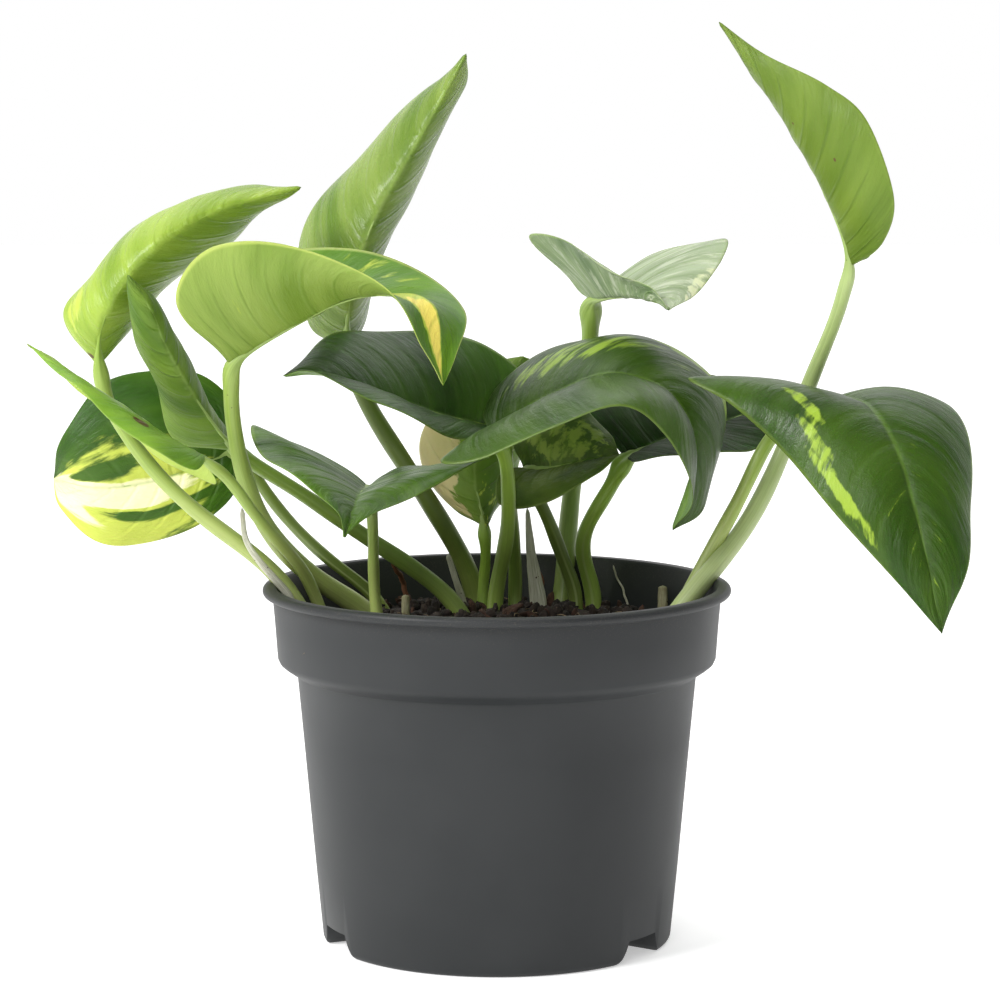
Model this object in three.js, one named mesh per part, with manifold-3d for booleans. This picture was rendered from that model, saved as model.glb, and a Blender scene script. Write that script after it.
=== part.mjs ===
// Potted pothos: fifteen leaves on their stalks, the soil they grow from and a round nursery pot.
// Millimetres, +Z up. The origin is on the pot's axis, at the ground it stands on.
// The front of the plant faces -Y and +X is to its right.
import * as THREE from 'three';
import { mergeVertices } from 'three/addons/utils/BufferGeometryUtils.js';
import Module from 'manifold-3d';

const wasm = await Module();
wasm.setup();

// Pot: a nursery pot of 12 cm, thin walled, with a wide band under its lip.
const POT_HEIGHT = 92;
const LIP_RADIUS = 60;
const LIP_HEIGHT = 2.5;
const LIP_OVERHANG = 2.5;
const LIP_ROUNDING = 1.2;
const BAND_BOTTOM_RADIUS = 56.2;
const BAND_BOTTOM = 73.5;
const STEP_BOTTOM = 69.5;
const STEP_ROUNDING = 1.5;
const BODY_TOP_RADIUS = 51.2;
const BODY_BOTTOM_RADIUS = 45;
const FOOT_ROUNDING = 1.6;
const WALL = 1.2;
const POT_SIDES = 48;

// Raised channels under the pot floor, open at the side, that let water drain away.
const CHANNEL_ANGLES = [84.6, 204.6, 324.6];
const CHANNEL_TOP_WIDTH = 12;
const CHANNEL_BOTTOM_WIDTH = 24;
const CHANNEL_HEIGHT = 5.8;
const CHANNEL_INNER_RADIUS = 22;
const DRAIN_HOLE_RADIUS = 3.5;
const DRAIN_HOLE_DISTANCE = 33;

// Soil: fills the pot to a little below its lip, with a gentle hump.
const SOIL_LEVEL = 80;
const SOIL_EDGE_LEVEL = 79;
const SOIL_HUMP = 1.5;

const GAP = 0.35;
const LEAF_THICKNESS = 0.8;
const LEAF_ROWS = 9;
const LEAF_COLUMNS = 3;
const NECK_RADIUS = 1.3;
const STALK_SIDES = 8;
const STALK_STEPS = 9;
const BURIED_LEVEL = 66;
const BURIED_PULL = 0.84;
const BIT_DEPTH = 5;
const BIT_SIDES = 6;

const BRIGHT_GREEN = { color: 0x86b03c, roughness: 0.4 };
const DEEP_GREEN = { color: 0x2f5520, roughness: 0.35 };
const CREAM_GREEN = { color: 0xc9c98a, roughness: 0.45 };
const SILVER_GREEN = { color: 0x93a583, roughness: 0.4 };
const STALK_GREEN = { color: 0x8bab4c, roughness: 0.5 };
const STALK_DARK = { color: 0x5c7a33, roughness: 0.5 };
const POT_PLASTIC = { color: 0x4a4d4c, roughness: 0.5 };
const SOIL_BROWN = { color: 0x2c211a, roughness: 1.0 };
const DRY_SHEATH = { color: 0xb9ad8c, roughness: 0.8 };
const ROOT_BROWN = { color: 0x6b4028, roughness: 0.9 };

// Leaves. The midrib runs from the stalk to the tip. The left and right margins are those seen from
// above with the tip pointing away, without the two ends that they share with the midrib.
// The stalk runs from the blade down to the soil.
const leaves = [
  {
    name: 'far_left',
    midrib: [[-69, 38, 123], [-80, 34, 118], [-93, 31, 114], [-106, 30, 113], [-118, 36, 115]],
    left: [[-69, 36, 112], [-78, 33, 104], [-92, 31, 98], [-105, 29, 99], [-116, 30, 108]],
    right: [[-69, 36, 133], [-78, 33, 143], [-92, 32, 144], [-105, 31, 140], [-114, 31, 128]],
    bulge: 2,
    stem: [[-68, 38, 123], [-63, 38, 113], [-56, 36, 104], [-44, 31, 93], [-30, 35, 82]],
    stemRadii: [1.5, 1.7],
    finish: CREAM_GREEN,
    stalkFinish: STALK_DARK,
  },
  {
    name: 'upper_left',
    midrib: [[-102, 4, 148], [-100, -2, 160], [-88, -4, 177], [-72, 2, 187], [-50, 8, 193]],
    left: [[-97, 8, 153], [-91, 14, 162], [-79, 18, 172], [-64, 16, 183]],
    right: [[-111, 6, 161], [-103, 12, 172], [-87, 16, 186], [-67, 16, 192]],
    bulge: -3,
    stem: [
      [-102, 4, 147], [-101, 3, 140], [-96, 2, 132], [-85, 1, 117],
      [-69, 1, 104], [-58, 2, 97], [-52, 3, 90], [-49, 3, 82],
    ],
    stemRadii: [1.7, 2.3],
    finish: BRIGHT_GREEN,
    stalkFinish: STALK_GREEN,
  },
  {
    name: 'front_left',
    midrib: [[-67, -14, 150], [-48, -15, 160], [-33, -20, 167], [-16, -28, 166], [-13, -36, 146]],
    left: [
      [-72, 4, 164], [-58, 10, 176], [-39, 8, 177],
      [-18, -4, 172], [-8, -18, 163], [-10, -30, 153],
    ],
    right: [[-79, -24, 166], [-70, -32, 179], [-48, -36, 180], [-27, -37, 169], [-17, -38, 155]],
    bulge: -2.5,
    stem: [
      [-67, -14, 150], [-67, -8, 135], [-65, 0, 120], [-61, 6, 106],
      [-51, 12, 94], [-40, 21, 85], [-30, 27, 80],
    ],
    stemRadii: [1.9, 2.9],
    finish: BRIGHT_GREEN,
    stalkFinish: STALK_GREEN,
  },
  {
    name: 'folded_left',
    midrib: [[-68, 6, 126], [-76, -3, 139], [-83, -11, 153], [-87, -15, 164], [-92, -17, 172]],
    left: [[-71, 13, 131], [-78, 11, 140], [-83, 2, 156], [-87, -10, 166]],
    right: [[-81, 8, 127], [-86, 5, 137], [-89, -3, 150], [-92, -13, 161]],
    bulge: -2,
    stem: [[-68, 6, 126], [-62, 10, 121], [-51, 14, 114], [-38, 18, 104], [-22, 23, 93], [-7, 27, 80]],
    stemRadii: [1.7, 2.4],
    finish: BRIGHT_GREEN,
    stalkFinish: STALK_GREEN,
  },
  {
    name: 'narrow_left',
    midrib: [[-73, -12, 126], [-87, -17, 135], [-98, -19, 142], [-108, -19, 149], [-117, -18, 155]],
    left: [[-75, -22, 124], [-86, -29, 130], [-99, -29, 141], [-109, -23, 148]],
    right: [[-72, -6, 118], [-84, -3, 124], [-96, -5, 134], [-106, -12, 144]],
    bulge: 2,
    stem: [
      [-72, -12, 125], [-67, -12, 120], [-63, -9, 113],
      [-57, -3, 104], [-50, 5, 96], [-46, 12, 83],
    ],
    stemRadii: [1.4, 1.7],
    finish: BRIGHT_GREEN,
    stalkFinish: STALK_GREEN,
  },
  {
    name: 'low_front',
    midrib: [[-33, 8, 116], [-34, -8, 117], [-35, -26, 116], [-37, -46, 110]],
    left: [
      [-25, 14, 120], [-13, 10, 122], [-2, 2, 124],
      [-12, -12, 121], [-24, -28, 116], [-33, -39, 113],
    ],
    right: [
      [-43, 12, 123], [-56, 10, 128], [-63, 6, 132],
      [-59, -9, 126], [-47, -26, 120], [-39, -38, 116],
    ],
    bulge: 1.5,
    stem: [[-33, 8, 115], [-32, 8, 107], [-32, 10, 94], [-31, 12, 79]],
    stemRadii: [1.3, 1.7],
    finish: DEEP_GREEN,
    stalkFinish: STALK_GREEN,
  },
  {
    name: 'centre_left',
    midrib: [[2, 26, 129], [-15, 14, 134], [-31, 5, 141], [-44, -1, 146], [-54, -6, 146]],
    left: [[-2, 13, 128], [-14, -5, 131], [-28, -12, 139], [-41, -12, 145], [-49, -8, 147]],
    right: [[8, 30, 142], [-4, 33, 151], [-25, 30, 155], [-41, 18, 155], [-49, 4, 150]],
    bulge: 2,
    stem: [[2, 27, 128], [3, 31, 118], [4, 38, 104], [5, 44, 92], [5, 48, 82]],
    stemRadii: [1.6, 2.0],
    finish: DEEP_GREEN,
    stalkFinish: STALK_DARK,
  },
  {
    name: 'centre_arching',
    midrib: [[-2, 4, 131], [13, 2, 140], [29, 2, 146], [44, 2, 141], [51, 2, 126], [45, -2, 106]],
    left: [
      [-4, 16, 135], [3, 24, 143], [20, 28, 152], [40, 28, 154],
      [57, 26, 141], [59, 20, 127], [54, 8, 111],
    ],
    right: [
      [-14, -14, 125], [-4, -22, 127], [16, -25, 135],
      [32, -24, 140], [43, -20, 132], [49, -12, 115],
    ],
    bulge: 2.5,
    stem: [[-2, 4, 130], [2, 6, 126], [3, 11, 114], [3, 17, 103], [1, 24, 93], [-1, 32, 81]],
    stemRadii: [1.8, 2.2],
    finish: DEEP_GREEN,
    stalkFinish: STALK_GREEN,
  },
  {
    name: 'tall_centre',
    midrib: [[-40, 36, 151], [-38, 24, 166], [-32, 22, 184], [-22, 24, 202], [-8, 30, 227]],
    left: [[-36, 42, 155], [-32, 44, 174], [-24, 44, 190], [-16, 42, 205], [-9, 36, 219]],
    right: [[-50, 40, 156], [-53, 42, 174], [-44, 44, 192], [-28, 42, 209], [-14, 36, 221]],
    bulge: -3,
    stem: [[-40, 36, 150], [-35, 37, 135], [-26, 38, 121], [-15, 41, 103], [-8, 45, 91], [-5, 50, 81]],
    stemRadii: [2.2, 2.8],
    finish: BRIGHT_GREEN,
    stalkFinish: STALK_DARK,
  },
  {
    name: 'cream_centre',
    midrib: [[-3, 36, 102], [-6, 36, 115], [-4, 40, 128], [1, 44, 138], [7, 44, 147]],
    left: [[0, 42, 106], [4, 46, 113], [9, 50, 124], [13, 50, 135], [12, 47, 144]],
    right: [[-11, 40, 107], [-19, 43, 114], [-20, 47, 124], [-13, 50, 136], [1, 47, 145]],
    bulge: -2,
    stem: [[-3, 36, 101], [-3, 38, 93], [-4, 41, 81]],
    stemRadii: [1.3, 1.6],
    finish: CREAM_GREEN,
    stalkFinish: STALK_GREEN,
  },
  {
    name: 'under_centre',
    midrib: [[7, 28, 118], [14, 27, 119], [23, 25, 121], [32, 22, 123]],
    left: [[5, 34, 126], [11, 36, 132], [20, 35, 135], [28, 31, 130]],
    right: [[1, 23, 118], [0, 19, 111], [6, 17, 109], [15, 16, 112], [26, 18, 118]],
    bulge: 2,
    stem: [[7, 28, 118], [10, 30, 112], [14, 32, 104], [18, 36, 92], [22, 38, 82]],
    stemRadii: [1.6, 2.0],
    finish: DEEP_GREEN,
    stalkFinish: STALK_DARK,
  },
  {
    name: 'top_silver',
    midrib: [[25, 44, 162], [30, 32, 163], [37, 18, 164], [44, 4, 162]],
    left: [[32, 54, 167], [44, 54, 174], [60, 44, 179], [59, 30, 173], [50, 12, 165]],
    right: [[20, 46, 166], [9, 40, 180], [22, 26, 176], [33, 16, 170], [41, 8, 165]],
    bulge: 1.5,
    stem: [[25, 44, 161], [25, 48, 152], [24, 54, 134], [20, 52, 110], [19, 50, 95], [18, 49, 82]],
    stemRadii: [2.2, 2.6],
    finish: SILVER_GREEN,
    stalkFinish: STALK_DARK,
  },
  {
    name: 'dark_behind',
    midrib: [[34, 30, 121], [45, 34, 126], [57, 38, 129], [69, 42, 133], [75, 46, 138]],
    left: [[24, 44, 134], [35, 54, 139], [52, 56, 141], [68, 52, 138]],
    right: [[37, 20, 121], [45, 16, 123], [57, 20, 124], [67, 28, 123], [75, 38, 129]],
    bulge: 2,
    stem: [[34, 30, 121], [31, 31, 115], [27, 32, 108], [23, 34, 102], [22, 38, 95], [27, 43, 81]],
    stemRadii: [1.9, 2.2],
    finish: DEEP_GREEN,
    stalkFinish: STALK_GREEN,
  },
  {
    name: 'right_large',
    midrib: [[82, 22, 135], [89, 8, 139], [97, -8, 136], [104, -18, 117], [111, -26, 83]],
    left: [[96, 26, 138], [112, 14, 139], [119, 4, 132], [121, -8, 117], [118, -18, 101]],
    right: [[64, 18, 142], [49, 4, 144], [60, -4, 138], [73, -12, 126], [87, -20, 110], [102, -24, 93]],
    bulge: 3,
    stem: [[82, 21, 134], [77, 21, 133], [70, 19, 127], [64, 16, 113], [56, 12, 100], [48, 12, 84]],
    stemRadii: [1.8, 2.0],
    finish: DEEP_GREEN,
    stalkFinish: STALK_GREEN,
  },
  {
    name: 'right_tall',
    midrib: [[91, 10, 173], [87, 8, 184], [80, 8, 198], [72, 10, 212], [57, 16, 235]],
    left: [[98, 2, 179], [100, -4, 191], [93, -4, 210], [83, 0, 219], [69, 8, 226]],
    right: [[98, 24, 176], [101, 34, 189], [94, 36, 207], [82, 30, 217], [67, 22, 227]],
    bulge: -3,
    stem: [
      [91, 10, 173], [88, 17, 158], [84, 24, 148], [81, 29, 138], [76, 31, 123],
      [69, 24, 109], [63, 14, 100.7], [57.2, 7.4, 96.5], [50.5, 3.8, 89.7], [42, 2, 80],
    ],
    stemRadii: [1.7, 2.8],
    finish: BRIGHT_GREEN,
    stalkFinish: STALK_GREEN,
  },
];

// Loose bits at the foot of the stalks: sheaths, cut ends and dried roots.
const bits = [
  {
    name: 'sheath_left',
    route: [[-65, -3, 112], [-64, -4, 104], [-60, -6, 98], [-53, -4, 89]],
    radii: [0.6, 1.2],
  },
  { name: 'sheath_centre', route: [[-13, 27, 96], [-11, 29, 89], [-9, 32, 82]], radii: [0.7, 1.1] },
  { name: 'sheath_spike', route: [[8, 30, 108], [9, 32, 96], [11, 35, 82]], radii: [0.5, 2.6] },
  { name: 'stub_right', route: [[44, 31, 87], [44, 30, 81]], radii: [1.2, 1.5] },
  { name: 'stub_left', route: [[-24, 21, 86], [-24, 20, 81]], radii: [1.0, 1.2] },
  {
    name: 'root_left',
    route: [[-29, 25, 98], [-27, 26, 93], [-25, 31, 88], [-24, 32, 82]],
    radii: [0.5, 0.8],
  },
  { name: 'root_right', route: [[10, 41, 91], [12, 43, 87], [12, 45, 82]], radii: [0.5, 0.8] },
  { name: 'root_pale', route: [[31, 43, 91], [33, 43, 86], [35, 39, 81]], radii: [0.4, 0.5] },
];

const group = new THREE.Group();

function addPart(name, geometry, finish) {
  const material = new THREE.MeshStandardMaterial({ ...finish, metalness: 0 });
  const mesh = new THREE.Mesh(geometry, material);
  mesh.name = name;
  group.add(mesh);
}

function toSolid(geometry) {
  const bare = geometry.clone();
  bare.deleteAttribute('normal');
  bare.deleteAttribute('uv');
  const merged = mergeVertices(bare, 1e-4);
  const mesh = new wasm.Mesh({
    numProp: 3,
    vertProperties: new Float32Array(merged.attributes.position.array),
    triVerts: new Uint32Array(merged.index.array),
  });
  return new wasm.Manifold(mesh);
}

function toGeometry(solid) {
  const mesh = solid.getMesh();
  const geometry = new THREE.BufferGeometry();
  geometry.setAttribute('position', new THREE.BufferAttribute(new Float32Array(mesh.vertProperties), 3));
  geometry.setIndex(new THREE.BufferAttribute(new Uint32Array(mesh.triVerts), 1));
  return geometry;
}

// A cut can leave crumbs behind: only the largest body is the part.
function largestBody(solid) {
  const bodies = solid.decompose();
  bodies.sort((a, b) => b.volume() - a.volume());
  return bodies[0];
}

function closedMesh(points, faces) {
  const geometry = new THREE.BufferGeometry();
  const flat = points.flatMap((p) => [p.x, p.y, p.z]);
  geometry.setAttribute('position', new THREE.BufferAttribute(new Float32Array(flat), 3));
  geometry.setIndex(faces.flat());
  return geometry;
}

function smoothCurve(points) {
  const vectors = points.map(([x, y, z]) => new THREE.Vector3(x, y, z));
  return new THREE.CatmullRomCurve3(vectors, false, 'catmullrom', 0.5);
}

// A tapering rod along a curve: rings of points, closed by a cone at each end.
function rod(curve, startRadius, endRadius, steps, sides) {
  const frames = curve.computeFrenetFrames(steps, false);
  const points = [curve.getPointAt(0)];
  for (let i = 0; i <= steps; i += 1) {
    const t = i / steps;
    const centre = curve.getPointAt(t);
    const radius = startRadius + (endRadius - startRadius) * t;
    for (let j = 0; j < sides; j += 1) {
      const angle = (j / sides) * 2 * Math.PI;
      const offset = frames.normals[i].clone().multiplyScalar(Math.cos(angle) * radius);
      offset.addScaledVector(frames.binormals[i], Math.sin(angle) * radius);
      points.push(centre.clone().add(offset));
    }
  }
  points.push(curve.getPointAt(1));
  const at = (i, j) => 1 + i * sides + (j % sides);
  const faces = [];
  for (let j = 0; j < sides; j += 1) {
    faces.push([0, at(0, j + 1), at(0, j)]);
    for (let i = 0; i < steps; i += 1) {
      faces.push([at(i, j), at(i, j + 1), at(i + 1, j)]);
      faces.push([at(i, j + 1), at(i + 1, j + 1), at(i + 1, j)]);
    }
    faces.push([points.length - 1, at(steps, j), at(steps, j + 1)]);
  }
  return closedMesh(points, faces);
}

// A blade hangs between its midrib and two margins, each a curve from the stalk to the tip.
// Each half is bowed by `bulge` towards the upper face, or away from it where that is negative.
function bladeSurface({ midrib, left, right, bulge }) {
  const ends = [midrib[0], midrib[midrib.length - 1]];
  const midCurve = smoothCurve(midrib);
  const margins = [left, right].map((side) => smoothCurve([ends[0], ...side, ends[1]]));
  const rows = [];
  for (let i = 1; i < LEAF_ROWS; i += 1) {
    const u = i / LEAF_ROWS;
    const along = Math.pow(u, 1.3);
    const centre = midCurve.getPointAt(along);
    const tangent = midCurve.getTangentAt(along);
    const row = [centre];
    margins.forEach((margin, side) => {
      const edge = margin.getPointAt(u);
      const across = edge.clone().sub(centre);
      if (side === 0) across.negate();
      const upward = across.cross(tangent).normalize();
      for (let j = 1; j <= LEAF_COLUMNS; j += 1) {
        const s = j / LEAF_COLUMNS;
        const point = centre.clone().lerp(edge, s);
        point.addScaledVector(upward, bulge * 4 * s * (1 - s) * Math.sin(Math.PI * u));
        if (side === 0) row.unshift(point);
        else row.push(point);
      }
    });
    rows.push(row);
  }
  return { base: midCurve.getPointAt(0), tip: midCurve.getPointAt(1), rows };
}

// The blade's solid: its surface offset half the thickness to both sides, and closed at the margin.
function bladeSolid(leaf, thickness) {
  const { base, tip, rows } = bladeSurface(leaf);
  const width = 2 * LEAF_COLUMNS + 1;
  const surface = [base, ...rows.flat(), tip];
  const last = surface.length - 1;
  const at = (i, j) => 1 + i * width + j;
  const upper = [];
  for (let j = 0; j < width - 1; j += 1) {
    upper.push([0, at(0, j + 1), at(0, j)]);
    for (let i = 0; i < rows.length - 1; i += 1) {
      upper.push([at(i, j), at(i, j + 1), at(i + 1, j)]);
      upper.push([at(i, j + 1), at(i + 1, j + 1), at(i + 1, j)]);
    }
    upper.push([last, at(rows.length - 1, j), at(rows.length - 1, j + 1)]);
  }
  const normals = surface.map(() => new THREE.Vector3());
  for (const face of upper) {
    const [a, b, c] = face.map((index) => surface[index]);
    const normal = b.clone().sub(a).cross(c.clone().sub(a)).normalize();
    face.forEach((index) => normals[index].add(normal));
  }
  const points = [1, -1].flatMap((side) =>
    surface.map((p, k) => p.clone().addScaledVector(normals[k].normalize(), (side * thickness) / 2)));
  const under = surface.length;
  const lower = upper.map(([a, b, c]) => [a + under, c + under, b + under]);
  const rim = [0];
  for (let i = 0; i < rows.length; i += 1) rim.push(at(i, width - 1));
  rim.push(last);
  for (let i = rows.length - 1; i >= 0; i -= 1) rim.push(at(i, 0));
  const walls = rim.flatMap((a, k) => {
    const b = rim[(k + 1) % rim.length];
    return [[a, a + under, b], [b, a + under, b + under]];
  });
  return toSolid(closedMesh(points, [...upper, ...lower, ...walls]));
}

// A stalk's curve, carried on into the soil and a little towards the pot's axis.
function stalkCurve(stem, buriedLevel) {
  const [x, y] = stem[stem.length - 1];
  return smoothCurve([...stem, [x * BURIED_PULL, y * BURIED_PULL, buriedLevel]]);
}

// The pot turned on its axis: the outside going up, over the lip and down the inside.
function potShell() {
  const bandTop = POT_HEIGHT - LIP_HEIGHT;
  const bandTopRadius = LIP_RADIUS - LIP_OVERHANG;
  const outside = [
    [0, 0],
    [BODY_BOTTOM_RADIUS - FOOT_ROUNDING, 0],
    [BODY_BOTTOM_RADIUS - FOOT_ROUNDING * 0.3, FOOT_ROUNDING * 0.3],
    [BODY_BOTTOM_RADIUS, FOOT_ROUNDING],
    [BODY_TOP_RADIUS, STEP_BOTTOM],
    [BODY_TOP_RADIUS + STEP_ROUNDING, STEP_BOTTOM + STEP_ROUNDING / 3],
    [BAND_BOTTOM_RADIUS - STEP_ROUNDING / 2, BAND_BOTTOM - STEP_ROUNDING],
    [BAND_BOTTOM_RADIUS, BAND_BOTTOM],
    [bandTopRadius, bandTop],
    [LIP_RADIUS - LIP_ROUNDING / 2, bandTop + LIP_ROUNDING / 4],
    [LIP_RADIUS, bandTop + LIP_ROUNDING],
    [LIP_RADIUS - LIP_ROUNDING / 2, POT_HEIGHT - LIP_ROUNDING / 4],
    [LIP_RADIUS - LIP_ROUNDING, POT_HEIGHT],
  ];
  const inside = [
    [bandTopRadius - WALL, POT_HEIGHT - 0.8],
    [BAND_BOTTOM_RADIUS - WALL, BAND_BOTTOM + 0.5],
    [BODY_TOP_RADIUS - WALL, STEP_BOTTOM + 1],
    [BODY_BOTTOM_RADIUS - WALL, FOOT_ROUNDING + 1],
    [BODY_BOTTOM_RADIUS - WALL - 1, WALL],
    [0, WALL],
  ];
  const turned = (outline) => {
    const lathe = new THREE.LatheGeometry(outline.map(([r, z]) => new THREE.Vector2(r, z)), POT_SIDES);
    return toSolid(lathe.rotateX(Math.PI / 2));
  };
  return { shell: turned([...outside, ...inside]), filled: turned([...outside, [0, POT_HEIGHT]]), inside };
}

// One drainage channel's space, widened by `margin` on its top and sides, from the floor's middle out.
function channelSpace(angle, margin) {
  const top = CHANNEL_TOP_WIDTH / 2 + margin;
  const bottom = CHANNEL_BOTTOM_WIDTH / 2 + margin;
  const height = CHANNEL_HEIGHT + margin;
  const section = new THREE.Shape();
  section.moveTo(-bottom, -1);
  section.lineTo(bottom, -1);
  section.quadraticCurveTo(top + 1, 0.5, top, height);
  section.lineTo(-top, height);
  section.quadraticCurveTo(-top - 1, 0.5, -bottom, -1);
  const length = BODY_TOP_RADIUS - CHANNEL_INNER_RADIUS + margin;
  const bar = new THREE.ExtrudeGeometry(section, { depth: length, bevelEnabled: false, curveSegments: 4 });
  bar.rotateX(Math.PI / 2);
  bar.rotateZ(Math.PI / 2);
  bar.translate(CHANNEL_INNER_RADIUS - margin, 0, 0);
  bar.rotateZ(THREE.MathUtils.degToRad(angle));
  return toSolid(bar);
}

function drainHole(angle) {
  const hole = new THREE.CylinderGeometry(DRAIN_HOLE_RADIUS, DRAIN_HOLE_RADIUS, 8, 12);
  hole.rotateX(Math.PI / 2);
  hole.translate(DRAIN_HOLE_DISTANCE, 0, CHANNEL_HEIGHT);
  hole.rotateZ(THREE.MathUtils.degToRad(angle));
  return toSolid(hole);
}

function potSolid() {
  const { shell, filled } = potShell();
  let pot = shell;
  for (const angle of CHANNEL_ANGLES) {
    const roof = channelSpace(angle, WALL).intersect(filled);
    pot = pot.add(roof);
  }
  for (const angle of CHANNEL_ANGLES) {
    pot = pot.subtract(channelSpace(angle, 0));
    pot = pot.subtract(drainHole(angle));
  }
  return largestBody(pot);
}

function soilSolid(buried) {
  const { inside } = potShell();
  const wall = inside.slice(1, -1).map(([r, z]) => [r - GAP, z]).reverse();
  const outline = [[0, WALL + GAP], [wall[0][0], WALL + GAP], ...wall.slice(1)];
  const slope = (POT_HEIGHT - BAND_BOTTOM) / (LIP_RADIUS - LIP_OVERHANG - BAND_BOTTOM_RADIUS);
  const edge = BAND_BOTTOM_RADIUS - WALL - GAP + (SOIL_EDGE_LEVEL - BAND_BOTTOM) / slope;
  outline.push([edge - GAP, SOIL_EDGE_LEVEL]);
  for (const share of [0.85, 0.6, 0.3]) {
    outline.push([edge * share, SOIL_LEVEL + SOIL_HUMP * Math.cos((share * Math.PI) / 2)]);
  }
  outline.push([0, SOIL_LEVEL + SOIL_HUMP]);
  const lathe = new THREE.LatheGeometry(outline.map(([r, z]) => new THREE.Vector2(r, z)), POT_SIDES / 2);
  let soil = toSolid(lathe.rotateX(Math.PI / 2));
  for (const angle of CHANNEL_ANGLES) soil = soil.subtract(channelSpace(angle, WALL + GAP));
  for (const socket of buried) soil = soil.subtract(socket);
  return largestBody(soil);
}

// A stalk stops just short of the point where its blade begins.
function neckSpace([x, y, z]) {
  return toSolid(new THREE.SphereGeometry(NECK_RADIUS, 8, 6).translate(x, y, z));
}

const sockets = [];
for (const leaf of leaves) {
  const curve = stalkCurve(leaf.stem, BURIED_LEVEL);
  const socketCurve = stalkCurve(leaf.stem, BURIED_LEVEL - GAP);
  const [topRadius, footRadius] = leaf.stemRadii;
  const blade = bladeSolid(leaf, LEAF_THICKNESS);
  const clearance = bladeSolid(leaf, LEAF_THICKNESS + 2 * GAP);
  const stalk = toSolid(rod(curve, topRadius, footRadius, STALK_STEPS, STALK_SIDES));
  const socket = rod(socketCurve, topRadius + GAP, footRadius + GAP, STALK_STEPS, STALK_SIDES);
  sockets.push(toSolid(socket));
  addPart(`leaf_${leaf.name}`, toGeometry(blade), leaf.finish);
  const freeStalk = stalk.subtract(clearance).subtract(neckSpace(leaf.midrib[0]));
  addPart(`stalk_${leaf.name}`, toGeometry(largestBody(freeStalk)), leaf.stalkFinish);
}

for (const { name, route, radii } of bits) {
  const steps = 2 * (route.length - 1);
  const foot = route[route.length - 1];
  const buried = (depth) => smoothCurve([...route, [foot[0], foot[1], foot[2] - depth]]);
  const piece = toSolid(rod(buried(BIT_DEPTH), radii[0], radii[1], steps, BIT_SIDES));
  sockets.push(toSolid(rod(buried(BIT_DEPTH + GAP), radii[0] + GAP, radii[1] + GAP, steps, BIT_SIDES)));
  addPart(name, toGeometry(piece), name.startsWith('root') ? ROOT_BROWN : DRY_SHEATH);
}

addPart('soil', toGeometry(soilSolid(sockets)), SOIL_BROWN);
addPart('pot', toGeometry(potSolid()), POT_PLASTIC);

export default group;
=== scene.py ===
# %% [markdown]
# # A potted golden pothos
# A young climbing plant in the round pot it was raised in: fifteen leaves on long stalks, a few dry
# sheaths and roots at their feet, crumbly soil and a thin plastic pot.
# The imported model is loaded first. It is the frame: it says where every piece is and how big it is.
# Each cell below replaces one of its plain solids with a finely shaped piece, in the same place.

# %% Load the frame
import math
import random

import bpy
import numpy as np
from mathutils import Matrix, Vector, noise


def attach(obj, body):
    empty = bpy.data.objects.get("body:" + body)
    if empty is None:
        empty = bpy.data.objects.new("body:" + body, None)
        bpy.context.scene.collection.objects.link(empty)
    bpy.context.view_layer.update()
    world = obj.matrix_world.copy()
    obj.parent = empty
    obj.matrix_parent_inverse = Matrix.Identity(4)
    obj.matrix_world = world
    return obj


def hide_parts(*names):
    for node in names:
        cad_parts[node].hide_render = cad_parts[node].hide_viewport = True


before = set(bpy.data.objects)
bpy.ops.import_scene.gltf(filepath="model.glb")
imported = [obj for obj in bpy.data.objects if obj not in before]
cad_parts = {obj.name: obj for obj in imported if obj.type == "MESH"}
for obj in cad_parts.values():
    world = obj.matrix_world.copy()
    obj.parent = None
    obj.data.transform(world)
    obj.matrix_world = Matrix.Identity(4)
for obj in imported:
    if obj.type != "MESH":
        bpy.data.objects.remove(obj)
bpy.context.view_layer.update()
MM = 0.001

# %% [markdown]
# ## Light, floor and camera
# The plant stands on a pale floor in front of a bright white backdrop. One large soft lamp stands to the
# left and above, a weaker one in front, and a wide light overhead lights the floor evenly.
# The world is the backdrop: white behind the plant, where it gives the leaves a shine at grazing angles
# and the pot its thin bright edges, and darker towards the front, so that the colours stay deep.
# The camera looks slightly down from the front with a long lens, so that the pot's sides stay nearly
# upright.

# %% Camera
CAMERA_PLACE = (0.0008, -0.876, 0.218)
CAMERA_TILT = 6.8
camera_data = bpy.data.cameras.new("camera")
camera_data.lens = 124.2
camera_data.sensor_width = 36
camera = bpy.data.objects.new("camera", camera_data)
camera.location = CAMERA_PLACE
camera.rotation_euler = (math.radians(90 - CAMERA_TILT), 0, 0)
bpy.context.collection.objects.link(camera)
bpy.context.scene.camera = camera
bpy.context.scene.view_settings.view_transform = "Standard"
print("camera stands", round(-camera.location.y, 3), "m in front of the pot")


# %% Lamps
PLANT_MIDDLE = Vector((0, 0, 0.13))


def soft_lamp(name, place, size, power):
    """A square lamp of this size, in metres, that shines at the middle of the plant."""
    lamp_data = bpy.data.lights.new(name, "AREA")
    lamp_data.shape = "SQUARE"
    lamp_data.size = size
    lamp_data.energy = power
    lamp = bpy.data.objects.new(name, lamp_data)
    lamp.location = place
    aim = PLANT_MIDDLE - Vector(place)
    lamp.rotation_euler = aim.to_track_quat("-Z", "Y").to_euler()
    bpy.context.collection.objects.link(lamp)


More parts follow.
